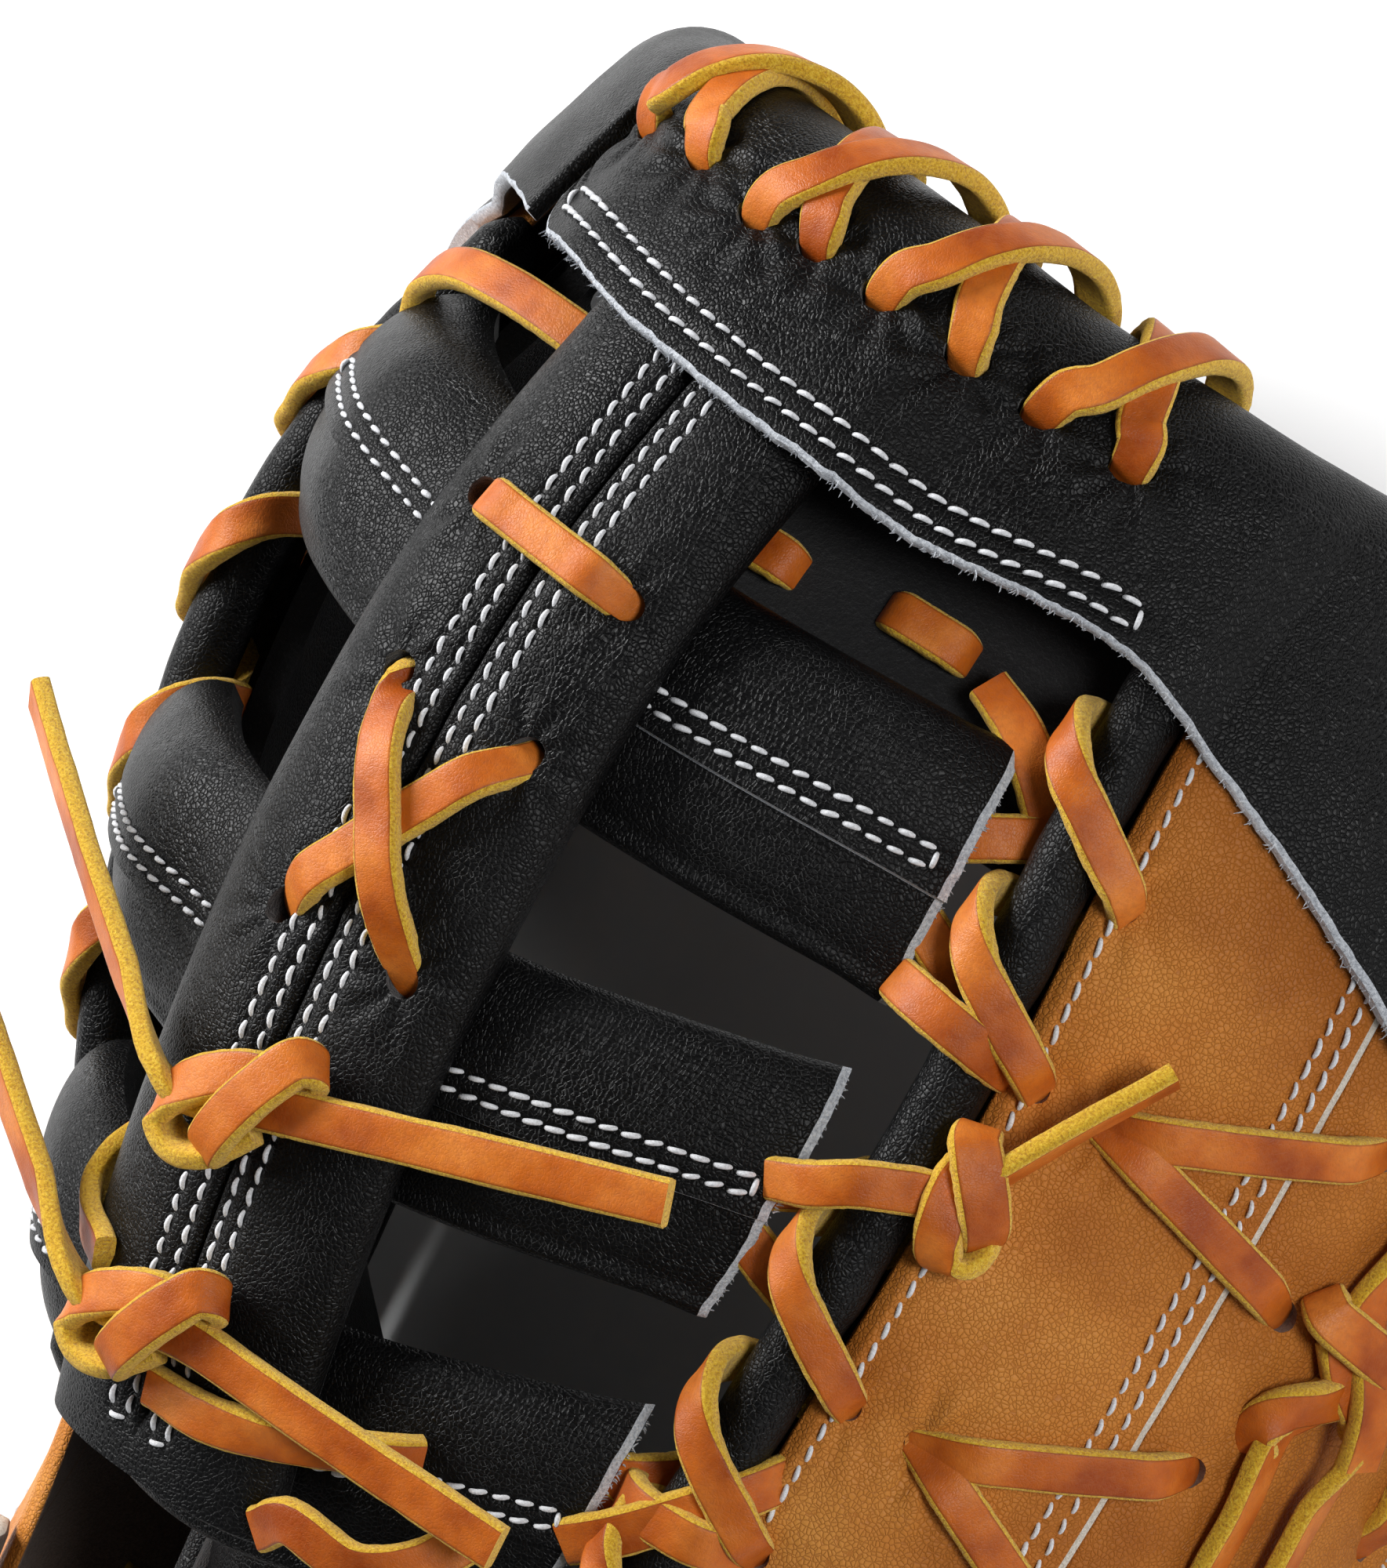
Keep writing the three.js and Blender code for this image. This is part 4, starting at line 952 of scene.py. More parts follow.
def make_bar(k, bar):
    name = f"web_bar_{k + 1}"
    us = np.unique(np.concatenate([spaced(92, 0.006), [0.9905]]))
    at_seam = SEAM_Y + np.array([-0.012, -0.004, 0.0, 0.006, 0.012, 0.02, 0.03])
    y_top = np.unique(np.concatenate([np.linspace(-1, 1, 90), at_seam]))
    ys = np.concatenate([y_top, np.linspace(1, -1, 16)[1:-1]])
    is_top = (np.arange(len(ys)) < len(y_top))[None, :]
    U, Y = np.meshgrid(us, ys, indexing="ij")
    p = mix(*BAR_ENDS, U)
    wave = ripple(U * 90, Y * 16, 20 + k, 0.09, 3)
    top_h = bar_lift(p, Y) + 0.36 * wave * tube_round(Y) - 0.7 * smooth((U - 0.990) / 0.01)
    mid = (top_h + BAR_BASE) / 2
    gap = np.minimum(np.maximum((top_h - BAR_BASE) / 2 - BAR_WALL, 0.12), 9)
    width = bar[3] * BAR_WIDTH / 2
    flare = 1 + 0.03 * smooth((U - 0.93) / 0.07)
    s = bar_middle(bar, p)
    end_wave = 0.35 * ripple(Y * 18, Y * 0, 40 + k, 0.5, 3)
    p_out = p + np.where(U > 0.98, 1, 0) * end_wave / WEB
    outer_face = put(p_out, s + Y * width * flare, np.where(is_top, top_h, BAR_BASE))
    inner_face = put(p_out, s + Y * 0.93 * width * flare, np.where(is_top, mid + gap, mid - gap))
    pts = np.concatenate([outer_face.reshape(-1, 3), inner_face.reshape(-1, 3)])
    n, m = U.shape
    q_out, idx, nxt = ring_quads(n, m)
    q_in = q_out[..., ::-1] + n * m
    quads = [q_out.reshape(-1, 4), q_in.reshape(-1, 4)]
    for row, flip in ((0, 1), (n - 1, 0)):
        q = np.stack([idx[row], nxt[row], nxt[row] + n * m, idx[row] + n * m], -1)
        quads.append(q[:, ::-1] if flip else q)
    cliff = ((np.abs(Y - SEAM_Y) < 0.011) | (U > 0.9902))[:-1]
    mats = np.concatenate([cliff.astype(int).reshape(-1), np.full(cliff.size, 2), np.ones(2 * m)])
    quads, _ = outward(pts, np.concatenate(quads))
    own(object_from(name + "_leather", pts, quads, [BLACK, RAW, DARK], mats), "black_leather", name)

    def sewn(q, y):
        along = bar_middle(bar, q)
        return float(to_across(q, along)), float(along + y * width), float(bar_lift(q, y) + SEWN["bar"])
    rows = [[sewn(q, y) for q in np.linspace(-0.80, 0.81, 60)] for y in BAR_ROWS]
    rows += [[sewn(q, y) for y in np.linspace(*BAR_ROWS, 5)] for q in (0.812, -0.802)]
    stitch_rows("stitches_" + name, rows, 30 + k)
    rng = np.random.default_rng(45 + k)
    y = rng.uniform(-0.97, 0.97, 90)
    p = np.full(len(y), BAR_ENDS[1])
    s = bar_middle(bar, p)
    lift = bar_lift(p, y) - 0.7 - rng.uniform(0, 1.4, len(y))
    da, ds, _ = frame_at(to_across(p, s), s)
    fringe("raw_fibres_" + name, put(p, s + y * width, lift), da, ds, 46 + k, (0.3, 0.9))


# ---------------------------------------------------------------- band and cap over the top edge
LEG, ROUND, INSIDE = 3, 4, 2    # parts of v on the outside, round the fold and on the inside
STRETCHES = LEG + ROUND + INSIDE


def cap_point(p, v, out, ends, extra=0.0, flap=FLAP, round_corner=0.0):
    """Point of the folded leather: v runs 0 to 1 from the raw edge over the fold to the flap's end."""
    step = v * STRETCHES
    turn = top_edge(p) - FOLD
    high, low = band_lift(p, turn), -half(p, turn) - LAYER
    raw = raw_edge(p) + 0.3 * ripple(p * WEB, p * 0, 9, 0.35, 4) + 0.16 * ripple(p * WEB, p * 0, 10, 2.1, 2)
    if round_corner:
        d = np.clip(np.abs(p - ends[0]) * WEB / round_corner, 0, 1)
        raw = raw + round_corner * (1 - np.sqrt(1 - (1 - d) ** 2))
    s_leg = mix(raw, turn, np.clip(step / LEG, 0, 1))
    h_leg = band_lift(p, s_leg) + out + extra
    angle = np.pi * np.clip((step - LEG) / ROUND, 0, 1)
    s_fold = turn + (FOLD + out + extra) * np.sin(angle)
    h_fold = (high + low) / 2 + ((high - low) / 2 + out + extra) * np.cos(angle)
    s_in = turn - flap * np.clip((step - LEG - ROUND) / INSIDE, 0, 1)
    h_in = -half(p, s_in) - LAYER - out - extra
    s = np.where(step <= LEG, s_leg, np.where(step <= LEG + ROUND, s_fold, s_in))
    h = np.where(step <= LEG, h_leg, np.where(step <= LEG + ROUND, h_fold, h_in))
    return put(p, s, h)


def band_row(p, which):
    """Along of the two stitch rows."""
    t = smooth((p + 0.4) / 1.3)
    return raw_edge(p) + (mix(3.8, 2.5, t) if which else mix(6.8, 5.5, t))


def fold_steps(leg, fold, inside):
    """Steps of v with leg, fold and inside cuts on the folded leather's three stretches."""
    turn, back = LEG / STRETCHES, (LEG + ROUND) / STRETCHES
    return np.unique(np.concatenate([[0, 0.003, 0.008], np.linspace(0.016, turn, leg),
                                     np.linspace(turn, back, fold)[1:],
                                     np.linspace(back, 0.985, inside)[1:], [0.995, 1]]))


def make_band():
    ends = (-0.47, 1.985)
    holes = HOLES["band"]

    def relief(U, V):
        p = mix(*ends, U)
        s = mix(raw_edge(p), top_edge(p) - FOLD, np.clip(V * 3, 0, 1))
        on = (V < 0.34) * smooth((0.9 - p) / 0.02)
        lift = sum(groove(s - band_row(p, k), 0.6, 0.32) for k in (0, 1)) * on
        lift = lift + 0.5 * ripple(p * WEB, V * 110, 11, 0.055, 5) * smooth(V / 0.1)
        a = to_across(p, s)
        lift = lift + np.where(V < 0.34, dimples(a, s, holes, 0.9, 3.4) + puckers(a, s, holes, 0.32), 0)
        return lift - 0.5 * (bell(p * WEB - 26 - V * 25, 1.6) * bell(V - 0.2, 0.16))

    def flap(U):
        p = mix(*ends, U)
        return FLAP + 28 * smooth((p + 0.4) / 0.3) * smooth((1.12 - p) / 0.15)

    def sewn(q, s):
        return spot(q, s, band_lift(q, s) + BAND + SEWN["band"])
    ob = shell("tip_band_leather", spaced(300, 0.003), fold_steps(44, 30, 9),
               lambda U, V: cap_point(mix(*ends, U), V, BAND, ends, relief(U, V), flap(U), 6.0),
               lambda U, V: cap_point(mix(*ends, U), V, 0.0, ends, 0.0, flap(U), 6.0),
               [BLACK, RAW, DARK], rims=(0, 0, 1, 0), square=0.12, raw=(0, 0, 0.011, 0))
    cut(ob, hole_cutters(holes, lambda a, s: band_lift(to_place(a, s), s) - 4, lambda a, s: 25,
                         "band_holes", HOLE_OVALS["band"]))
    own(ob, "black_leather", "tip_band")
    rows = [[sewn(q, band_row(q, k)) for q in np.linspace(-0.415, 0.885, 50)] for k in (0, 1)]
    for q in (0.89, -0.425):
        rows.append([sewn(q, s) for s in np.linspace(band_row(q, 0), band_row(q, 1), 5)])
    stitch_rows("stitches_band", rows, 50)
    rng = np.random.default_rng(55)
    p = rng.uniform(-0.44, 1.96, 620)
    s = raw_edge(p) + 0.25
    lift = band_lift(p, s) + BAND * rng.uniform(0.1, 0.95, len(p))
    da, ds, _ = frame_at(to_across(p, s), s)
    fringe("raw_fibres_band", put(p, s, lift), -ds, da, 56)


def make_finger_cap():
    ends = (-1.985, -0.53)

    def relief(U, V):
        return 0.5 * ripple(U * 110, V * 110, 13, 0.06, 4) * smooth(V / 0.1)
    ob = shell("finger_cap_leather", spaced(88, 0.006), fold_steps(28, 26, 8),
               lambda U, V: cap_point(mix(*ends, U), V, BAND, ends, relief(U, V)),
               lambda U, V: cap_point(mix(*ends, U), V, 0.0, ends),
               [BLACK, RAW, DARK], rims=(1, 0, 1, 0), square=0.12, raw=(0, 0, 0.012, 0))
    own(ob, "black_leather", "finger_cap")


# ---------------------------------------------------------------- palm, back panels, straps
def make_palm():
    def face(deep):
        def f(U, V):
            p = mix(-2, 2, U)
            s = (1 - (1 - V) ** DENSER) * (top_edge(p) - FOLD - TUCK)
            wave = 0.5 * ripple(p * WEB, s, 17 if deep else 18, 0.05, 4)
            creases = 0.35 * ripple(p * WEB * 0.4, s, 19, 0.22, 2)
            rise = (0.0 if deep else 1.0) * padding(p, s) + (wave + creases) * (1 if deep else 0.3)
            return put(p, s, inner(p, s) + rise)
        return f

    def notch_face(w):
        def f(u, v):
            low = 0.376 * LENGTH + 20 * np.abs(2 * u - 1) ** 4
            lift = mix(-(HALF_WEB + HEEL_ROOM + PAD) - 3, HALF_WEB + 3, w)
            return put(mix(-0.99, 0.99, u), mix(low, LENGTH + FLAP, v), lift + 0.0 * u)
        return f
    ob = shell("palm_panel_leather", spaced(130, 0.007), spaced(95, 0.007), face(False), face(True),
               [BLACK, DARK], square=0.3, under=0)
    cut(ob, shell("notch", np.linspace(0, 1, 70), np.linspace(0, 1, 12), notch_face(1), notch_face(0),
                  [BLACK, DARK], (1, 1, 1, 1), 0.0, (1, 1, 1, 1)))
    own(ob, "black_leather", "palm_panel")


def seam_at(seam, s):
    return mix(seam[0], seam[1], s / LENGTH)


def panel_width(side, s):
    return edge_across(side, s) - section["web"](s)


def past_roll(side, s):
    return side * (1 + (ROLL + CLEAR) / panel_width(side, s))


def dimples(a, s, holes, depth=1.1, size=3.6):
    total = 0.0
    for ha, hs, _ in holes:
        total = total - depth * np.exp(-(((a - ha) ** 2 + (s - hs) ** 2) / size**2))
    return total


def puckers(a, s, holes, depth=0.28):
    """Small wrinkles that run out from holes."""
    total = 0.0
    for k, (ha, hs, _) in enumerate(holes):
        r = np.hypot(a - ha, s - hs)
        turn = np.arctan2(s - hs, a - ha)
        total = total + depth * np.sin(turn * (7 + k % 3) + k * 1.7 + r * 0.25) * bell(r - 5, 4.0)
    return total


def panel(node_name, start, end, n, detail, rims, seed, dips, strip=0.0):
    """Leather panel of the back between two edges given as place(along). n: its cuts across and along.
    strip: share of its width that shows its cut edge's colour beside the seam."""
    side = 1 if start(0.0) > 0 else -1

    def where(U, V):
        flat = mix(start(0.0), end(0.0), U)
        s = mix(LENGTH * 0.02, top_edge(flat) - FOLD - TUCK, 1 - (1 - V) ** DENSER)
        return mix(start(s), end(s), U), s

    def top(U, V):
        p, s = where(U, V)
        w = panel_width(side, s)
        a = to_across(p, s)
        lift = detail(np.abs(p - start(s)) * w, np.abs(end(s) - p) * w)
        lift = lift + 0.45 * ripple(a, s, seed, 0.05, 5) + dimples(a, s, dips) + puckers(a, s, dips)
        return put(p, s, half(p, s) + lift)

    def bottom(U, V):
        p, s = where(U, V)
        return put(p, s, half(p, s) - LEATHER)

    def level(a, s):
        return float(half(to_place(a, s), s))
    ob = shell(node_name + "_leather", spaced(n[0], 0.008), spaced(n[1], 0.004), top, bottom,
               [TAN, RAW_TAN, SUEDE_AND_HOLE_SHADE], rims=rims, square=0.2, raw=(0, strip, 0, 0))
    near = [h for h in HOLES["back"] if inside_panel(h, start, end)]
    if near:
        cut(ob, hole_cutters(near, lambda a, s: level(a, s) - LEATHER - 2, lambda a, s: level(a, s) + 3,
                             "holes_" + node_name, HOLE_OVALS["back"]))
    own(ob, "tan_leather", node_name)


def inside_panel(hole, start, end):
    a, s, _ = hole
    p = float(to_place(a, s))
    lo, hi = sorted((float(start(s)), float(end(s))))
    return lo + 0.02 < p < hi - 0.01


def near_detail(d0, d1):
    """Relief of the panel beside the web: turned edge, stitch grooves and seam."""
    lift = -1.4 * bell(d0, 1.0) + groove(d0 - ROLL_STITCHES, 0.7, 0.4)
    for row in SEAM_STITCHES:
        lift = lift + groove(d1 - row, 0.6, 0.32)
    return lift - 0.3 * bell(d1, 0.5)


def far_detail(d0, d1):
    """Relief of the outer panel."""
    return -1.3 * bell(d0, 4.0) - 0.8 * bell(d1, 1.2) + groove(d1 - EDGE_STITCHES, 0.7, 0.3)


def make_back():
    for side, seam, label, fine in ((1, THUMB_SEAM, "thumb", 1.0), (-1, FINGER_SEAM, "finger", 0.7)):
        def start(s):
            return past_roll(side, s)

        def middle_line(s):
            return seam_at(seam, s)

        def second(s):
            return seam_at(seam, s) + side * 0.005

        def outer_line(s):
            return side * 1.98 + 0.0 * s

        def sewn(end, offsets, edge_line, sign, last, n, seed, first=12):
            steps = np.linspace(first, last, n)
            places = [[(edge_line(s) + sign * d / panel_width(side, s), s) for s in steps] for d in offsets]
            rows = [[spot(p, s, half(p, s) + SEWN["back"]) for p, s in row] for row in places]
            stitch_rows(f"stitches_{label}_{end}", rows, seed + side, "tan_leather")
        dips = [h for h in HOLES["back"] if h[0] * side > 0]
        panel(f"{label}_back", start, middle_line, (int(86 * fine), int(176 * fine)), near_detail,
              (0, 1, 0, 0), 60 + side, dips, 0.028)
        panel(f"{label}_side", second, outer_line, (int(80 * fine), int(160 * fine)), far_detail,
              (0, 0, 0, 0), 64 + side, dips)
        sewn("roll", (ROLL_STITCHES,), start, side, 278, 90, 70, 112)
        sewn("seam", SEAM_STITCHES, middle_line, -side, float(top_edge(seam[1])) - 30, 120, 72)
        sewn("edge", (EDGE_STITCHES,), outer_line, -side, float(top_edge(1.9 * side)) - 30, 100, 74)


def make_strap(name, lo, hi, reach, seed):
    """Strap across the back from the share lo to hi of the length, out to the places -reach and reach."""
    def where(U, V):
        return mix(-reach, reach, U), LENGTH * mix(lo, hi, V)

    def top(U, V):
        p, s = where(U, V)
        d = np.minimum(V, 1 - V) * LENGTH * (hi - lo)
        lift = groove(d - STRAP_STITCHES, 0.7, 0.35) + 0.25 * ripple(p * WEB, s, seed, 0.06, 4)
        lift = lift - 0.5 * bell(d, 0.8)
        return put(p, s, half(p, s) + STRAP_GAP + LEATHER + lift)

    def bottom(U, V):
        p, s = where(U, V)
        return put(p, s, half(p, s) + STRAP_GAP)

    def sewn(p, s):
        return spot(p, s, half(p, s) + STRAP_GAP + LEATHER + SEWN["strap"])
    ob = shell(name + "_leather", spaced(112, 0.006), spaced(34, 0.02), top, bottom, [TAN, RAW_TAN, SUEDE_AND_HOLE_SHADE],
               rims=(1, 1, 1, 1), square=0.2)
    own(ob, "tan_leather", name)
    ends = (LENGTH * lo + STRAP_STITCHES, LENGTH * hi - STRAP_STITCHES)
    rows = [[sewn(p, s) for p in np.linspace(-reach + 0.04, reach - 0.04, 60)] for s in ends]
    rows += [[sewn(p, s) for s in np.linspace(*ends, 12)] for p in (-reach + 0.035, reach - 0.035)]
    stitch_rows("stitches_" + name, rows, seed + 1, "tan_leather")


# ---------------------------------------------------------------- rolls
def end_round(steps, size=1.0):
    """Share of a roll's radius that rounds off its two ends."""
    near = np.minimum(steps - steps[0], steps[-1] - steps) * size
    return np.minimum(1, np.sqrt(np.clip((near + 0.6) / 5, 0, 1)))[:, None]


def make_rolls():
    ang = ring_angles(ROLL_SIDES)[None, :]
    for side, label in ((1, "thumb"), (-1, "finger")):
        s = np.linspace(0.37 * LENGTH, 0.905 * LENGTH, 280)
        a = side * section["web"](s)
        da, _, n = frame_at(a, s)
        pinch = 0.0
        for across, along, _ in HOLES["back"]:
            if across * side > 0 and abs(abs(across) - section["web"](along) - 8) < 3:
                pinch = pinch + bell(s - along - 7, 3.5)
        fold = ripple(s[:, None], ang * 2.2, 80 + side, 0.35, 3)
        r = ROLL * (1 - 0.07 * np.asarray(pinch)[:, None] + 0.035 * fold)
        tube(f"roll_{label}", at(a, s, ROLL_LIFT), da, n, r * end_round(s))
        s = np.linspace(0.012 * LENGTH, 0.785 * LENGTH, 260)
        a = side * rim_across(side, s)
        da, _, n = frame_at(a, s)
        r = RIM * (1 + 0.02 * ripple(s[:, None], ang * 2.0, 84 + side, 0.3, 3))
        tube(f"rim_{label}", middle(a, s), da, n, r * end_round(s), True)
    p = np.linspace(-1.94, 1.94, 260)
    lift = inner(p, 0 * p) + padding(p, 0 * p) / 2
    a = to_across(p, 0 * p)
    s = np.full(len(p), -HEEL_ROLL - LAYER)
    _, ds, n = frame_at(a, s)
    r = HEEL_ROLL * (1 + 0.02 * ripple(p[:, None] * WEB, ang * 2.0, 90, 0.3, 3))
    tube("heel_binding", at(a, s, lift), ds, n, r * end_round(p, WEB), True)


# ---------------------------------------------------------------- laces
FLAT = (0, 0, 1)
HANG_FACE = np.array([0.239, -0.717, 0.645])    # outer direction of the knots' hanging tails
# A knot's three visible stretches in its own frame: right, up and outward in mm, width share, outer
# direction
KNOT_OVER = [(-10.1, 3.6, 3.2, 1, (-0.8, -0.4, 0.45)), (-6, 0.8, 1.2, 0.9, (-0.5, -0.3, -0.8)),
             (0, 0.2, 0.2, 0.9, (0, 0, -1)), (6.5, 1.6, 0.3, 0.9, (0.2, 0, -1)),
             (10.8, 3.6, 1.6, 0.95, (0.95, 0.25, -0.1)), (9.6, 4.6, 3.9, 1.05, (0.5, 0.3, 0.8)),
             (6.4, 2.6, 5.1, 1.1, (0.1, 0.1, 1)), (1.5, -1.0, 5.3, 1.1, FLAT),
             (-2.2, -3.8, 4.4, 1.05, (-0.3, -0.25, 0.9)), (-4.4, -5.2, 2.4, 0.95, (-0.75, -0.6, 0.3)),
             (-4.2, -4.8, 0.6, 0.9, (-0.5, -0.4, -0.75))]
KNOT_ROUND = [(5, 3.0, 1.7, 0.9, FLAT), (1.2, 3.4, 2.6, 0.95, (0, 0.1, 1)),
              (-4.5, 2.6, 3.3, 1, (-0.15, 0.1, 1)), (-9, 0.8, 3.0, 1, (-0.6, 0.2, 0.75)),
              (-11.1, -1.6, 2.2, 1, (-0.95, -0.1, 0.2)),
              (-9.8, -4.4, 1.7, 1, (-0.75, -0.6, -0.2)), (-6.6, -5.6, 1.4, 1, (-0.25, -0.85, -0.4)),
              (-3, -4.6, 0.9, 0.9, (0, -0.6, -0.8)), (1, -2.6, 0.5, 0.9, (0, -0.3, -0.95))]
KNOT_TAIL = [(-1.5, 0.2, 1.6, 0.9, FLAT), (3, -0.6, 1.9, 0.95, FLAT), (7.5, -1.4, 2.2, 1, FLAT)]


def knot(centre, lift, heading, tail_in, tail_out, seed, free=(0, 0), skip=0, size=1.0, tail=KNOT_TAIL):
    """Overhand knot as three straps. tail_in and tail_out: rows of the free stretches, free: their sags."""
    c, q = math.cos(math.radians(heading)), math.sin(math.radians(heading))

    def local(rows):
        return [(centre[0] + size * (x * c - y * q), centre[1] + size * (x * q + y * c), lift + z, w,
                 (u[0] * c - u[1] * q, u[0] * q + u[1] * c, u[2])) for x, y, z, w, u in rows]
    first, last = list(tail_in) + local(KNOT_OVER[skip:]), local(tail) + list(tail_out)
    bend_in = ((0, len(tail_in), free[0]),) if free[0] else ()
    bend_out = ((len(tail) - 1, len(last) - 1, free[1]),) if free[1] else ()
    return [turned(first, seed, straight=bend_in), turned(local(KNOT_ROUND), seed + 40),
            turned(last, seed + 41, straight=bend_out)]


def turned(rows, seed, cuts=7, straight=()):
    """Strap through rows of (across, along, lift, width share, outer), where outer holds the parts of the
    outer face's direction across, along and outward. straight: first row, last row and sag of each
    free stretch."""
    a, s, h, w = (np.array([row[k] for row in rows], float) for k in range(4))
    C = at(a, s, h)
    for first, last, sag in straight:
        t = np.linspace(0, 1, last - first + 1)[:, None]
        C[first:last + 1] = C[first] * (1 - t) + C[last] * t + np.array([0, 0, sag]) * 4 * t * (1 - t)
    P, tan = centripetal(C, cuts)
    part = np.array([row[4] for row in rows], float)
    up = unit(sum(v * part[:, c:c + 1] for c, v in enumerate(frame_at(a, s))))
    k = np.linspace(0, len(rows) - 1, len(P))
    side = unit(np.cross(tan, unit(between(k, up))))
    return strap_mesh(P, tan, side, between(k, w), seed)


def over_top(p0, reach, along, rise, seed):
    """Strap from a hole in the band over the top edge to the mitt's other side."""
    low = along * LENGTH
    rows = []

    def row(p, s, h, lean=0, w=1.0):
        lean = math.radians(lean)
        rows.append((*spot(p, s, h), w, (0, math.sin(lean), math.cos(lean))))
    top = float(band_lift(p0, low)) + BAND
    row(p0, low - 0.5, top - 9, -90, 0.8)
    row(p0, low - 0.4, top - 3.5, -88, 0.82)
    row(p0 + 0.02 * reach, low + 0.3, top - 0.3, -65, 0.9)
    p = p0 + 0.08 * reach
    row(p, low + 2.4, float(band_lift(p, low + 2.4)) + BAND + HALF_LACE + 0.4 + 0.3 * rise, -18)
    HOLES["band"].append((float(to_across(p0, low)), low - 0.2, 90))
    steps = 10
    for i in range(steps + 1):
        t = i / steps
        p = p0 + reach * (0.2 + 0.8 * (1 - (1 - t) ** 1.5))
        turn = float(top_edge(p)) - FOLD
        high, deep = float(band_lift(p, turn)) + BAND, -float(half(p, turn)) - LAYER - BAND
        angle = math.pi * t
        off = HALF_LACE + 0.35 + rise * (0.75 + 0.25 * math.sin(angle))
        lift = (high + deep) / 2 + ((high - deep) / 2 + off) * math.cos(angle)
        row(p, turn + (FOLD + BAND + off) * math.sin(angle), lift, math.degrees(angle))
    p1 = p0 + reach
    deep = -float(half(p1, low)) - LAYER
    row(p1, low + 1.5, deep - BAND - HALF_LACE - 0.3, 190)
    row(p1, low - 0.5, deep - 0.5, 255, 0.85)
    row(p1, low - 0.6, deep + 3, 268, 0.8)
    return turned(rows, seed, 6)


def spiral(side, holes):
    """Lace that leaves each hole, crosses the roll and curls round its far edge to the back."""
    rows = []
    under = ROLL_LIFT - ROLL - HALF_LACE - 0.3
    over = ROLL_LIFT + ROLL + HALF_LACE
    for hole in holes:
        s0 = hole * LENGTH
        web = float(section["web"](s0))
        top, deep = back_level(side * (web + HOLE_OFF), s0)
        turn = [(HOLE_OFF + 1.5, -3.0, deep - 1, 0.85, (0.6, -0.4, 0.5)),
                (HOLE_OFF - 0.3, -0.5, (top + deep) / 2 + 1, 0.82, (0.85, -0.5, 0.15)),
                (6.3, 1.2, top + 2.1, 0.93, (0.45, -0.3, 0.85)), (2.5, 3.8, over + 0.1, 1.0, (0, 0, 1)),
                (-1.6, 6.8, over + 0.2, 0.98, (-0.25, 0.1, 0.95)),
                (-5.2, 10.0, 9.6, 0.95, (-0.62, 0.2, 0.72)),
                (-7.2, 13.6, 7.6, 0.95, (-0.92, 0.12, 0.3)), (-7.4, 16.6, 4.8, 0.95, (-0.97, 0.1, -0.1)),
                (-5.6, 18.6, 1.4, 0.95, (-0.85, 0.1, -0.5)), (-1.5, 19.2, under, 0.9, (-0.2, 0, -1)),
                (ROLL, 18.4, under, 0.9, (0, 0, -1))]
        for off, past, h, w, (across, along, out) in turn:
            near = float(section["web"](s0 + past))
            rows.append((side * (near + off), s0 + past, h, w, (side * across, along, out)))
        HOLES["back"].append((side * (web + HOLE_OFF - 0.8), s0, 90 + side * 50))
    return rows


def placed(rows):
    """Millimetres from places and shares of the length."""
    return [(float(to_across(p, s * LENGTH)), s * LENGTH) for p, s in rows]


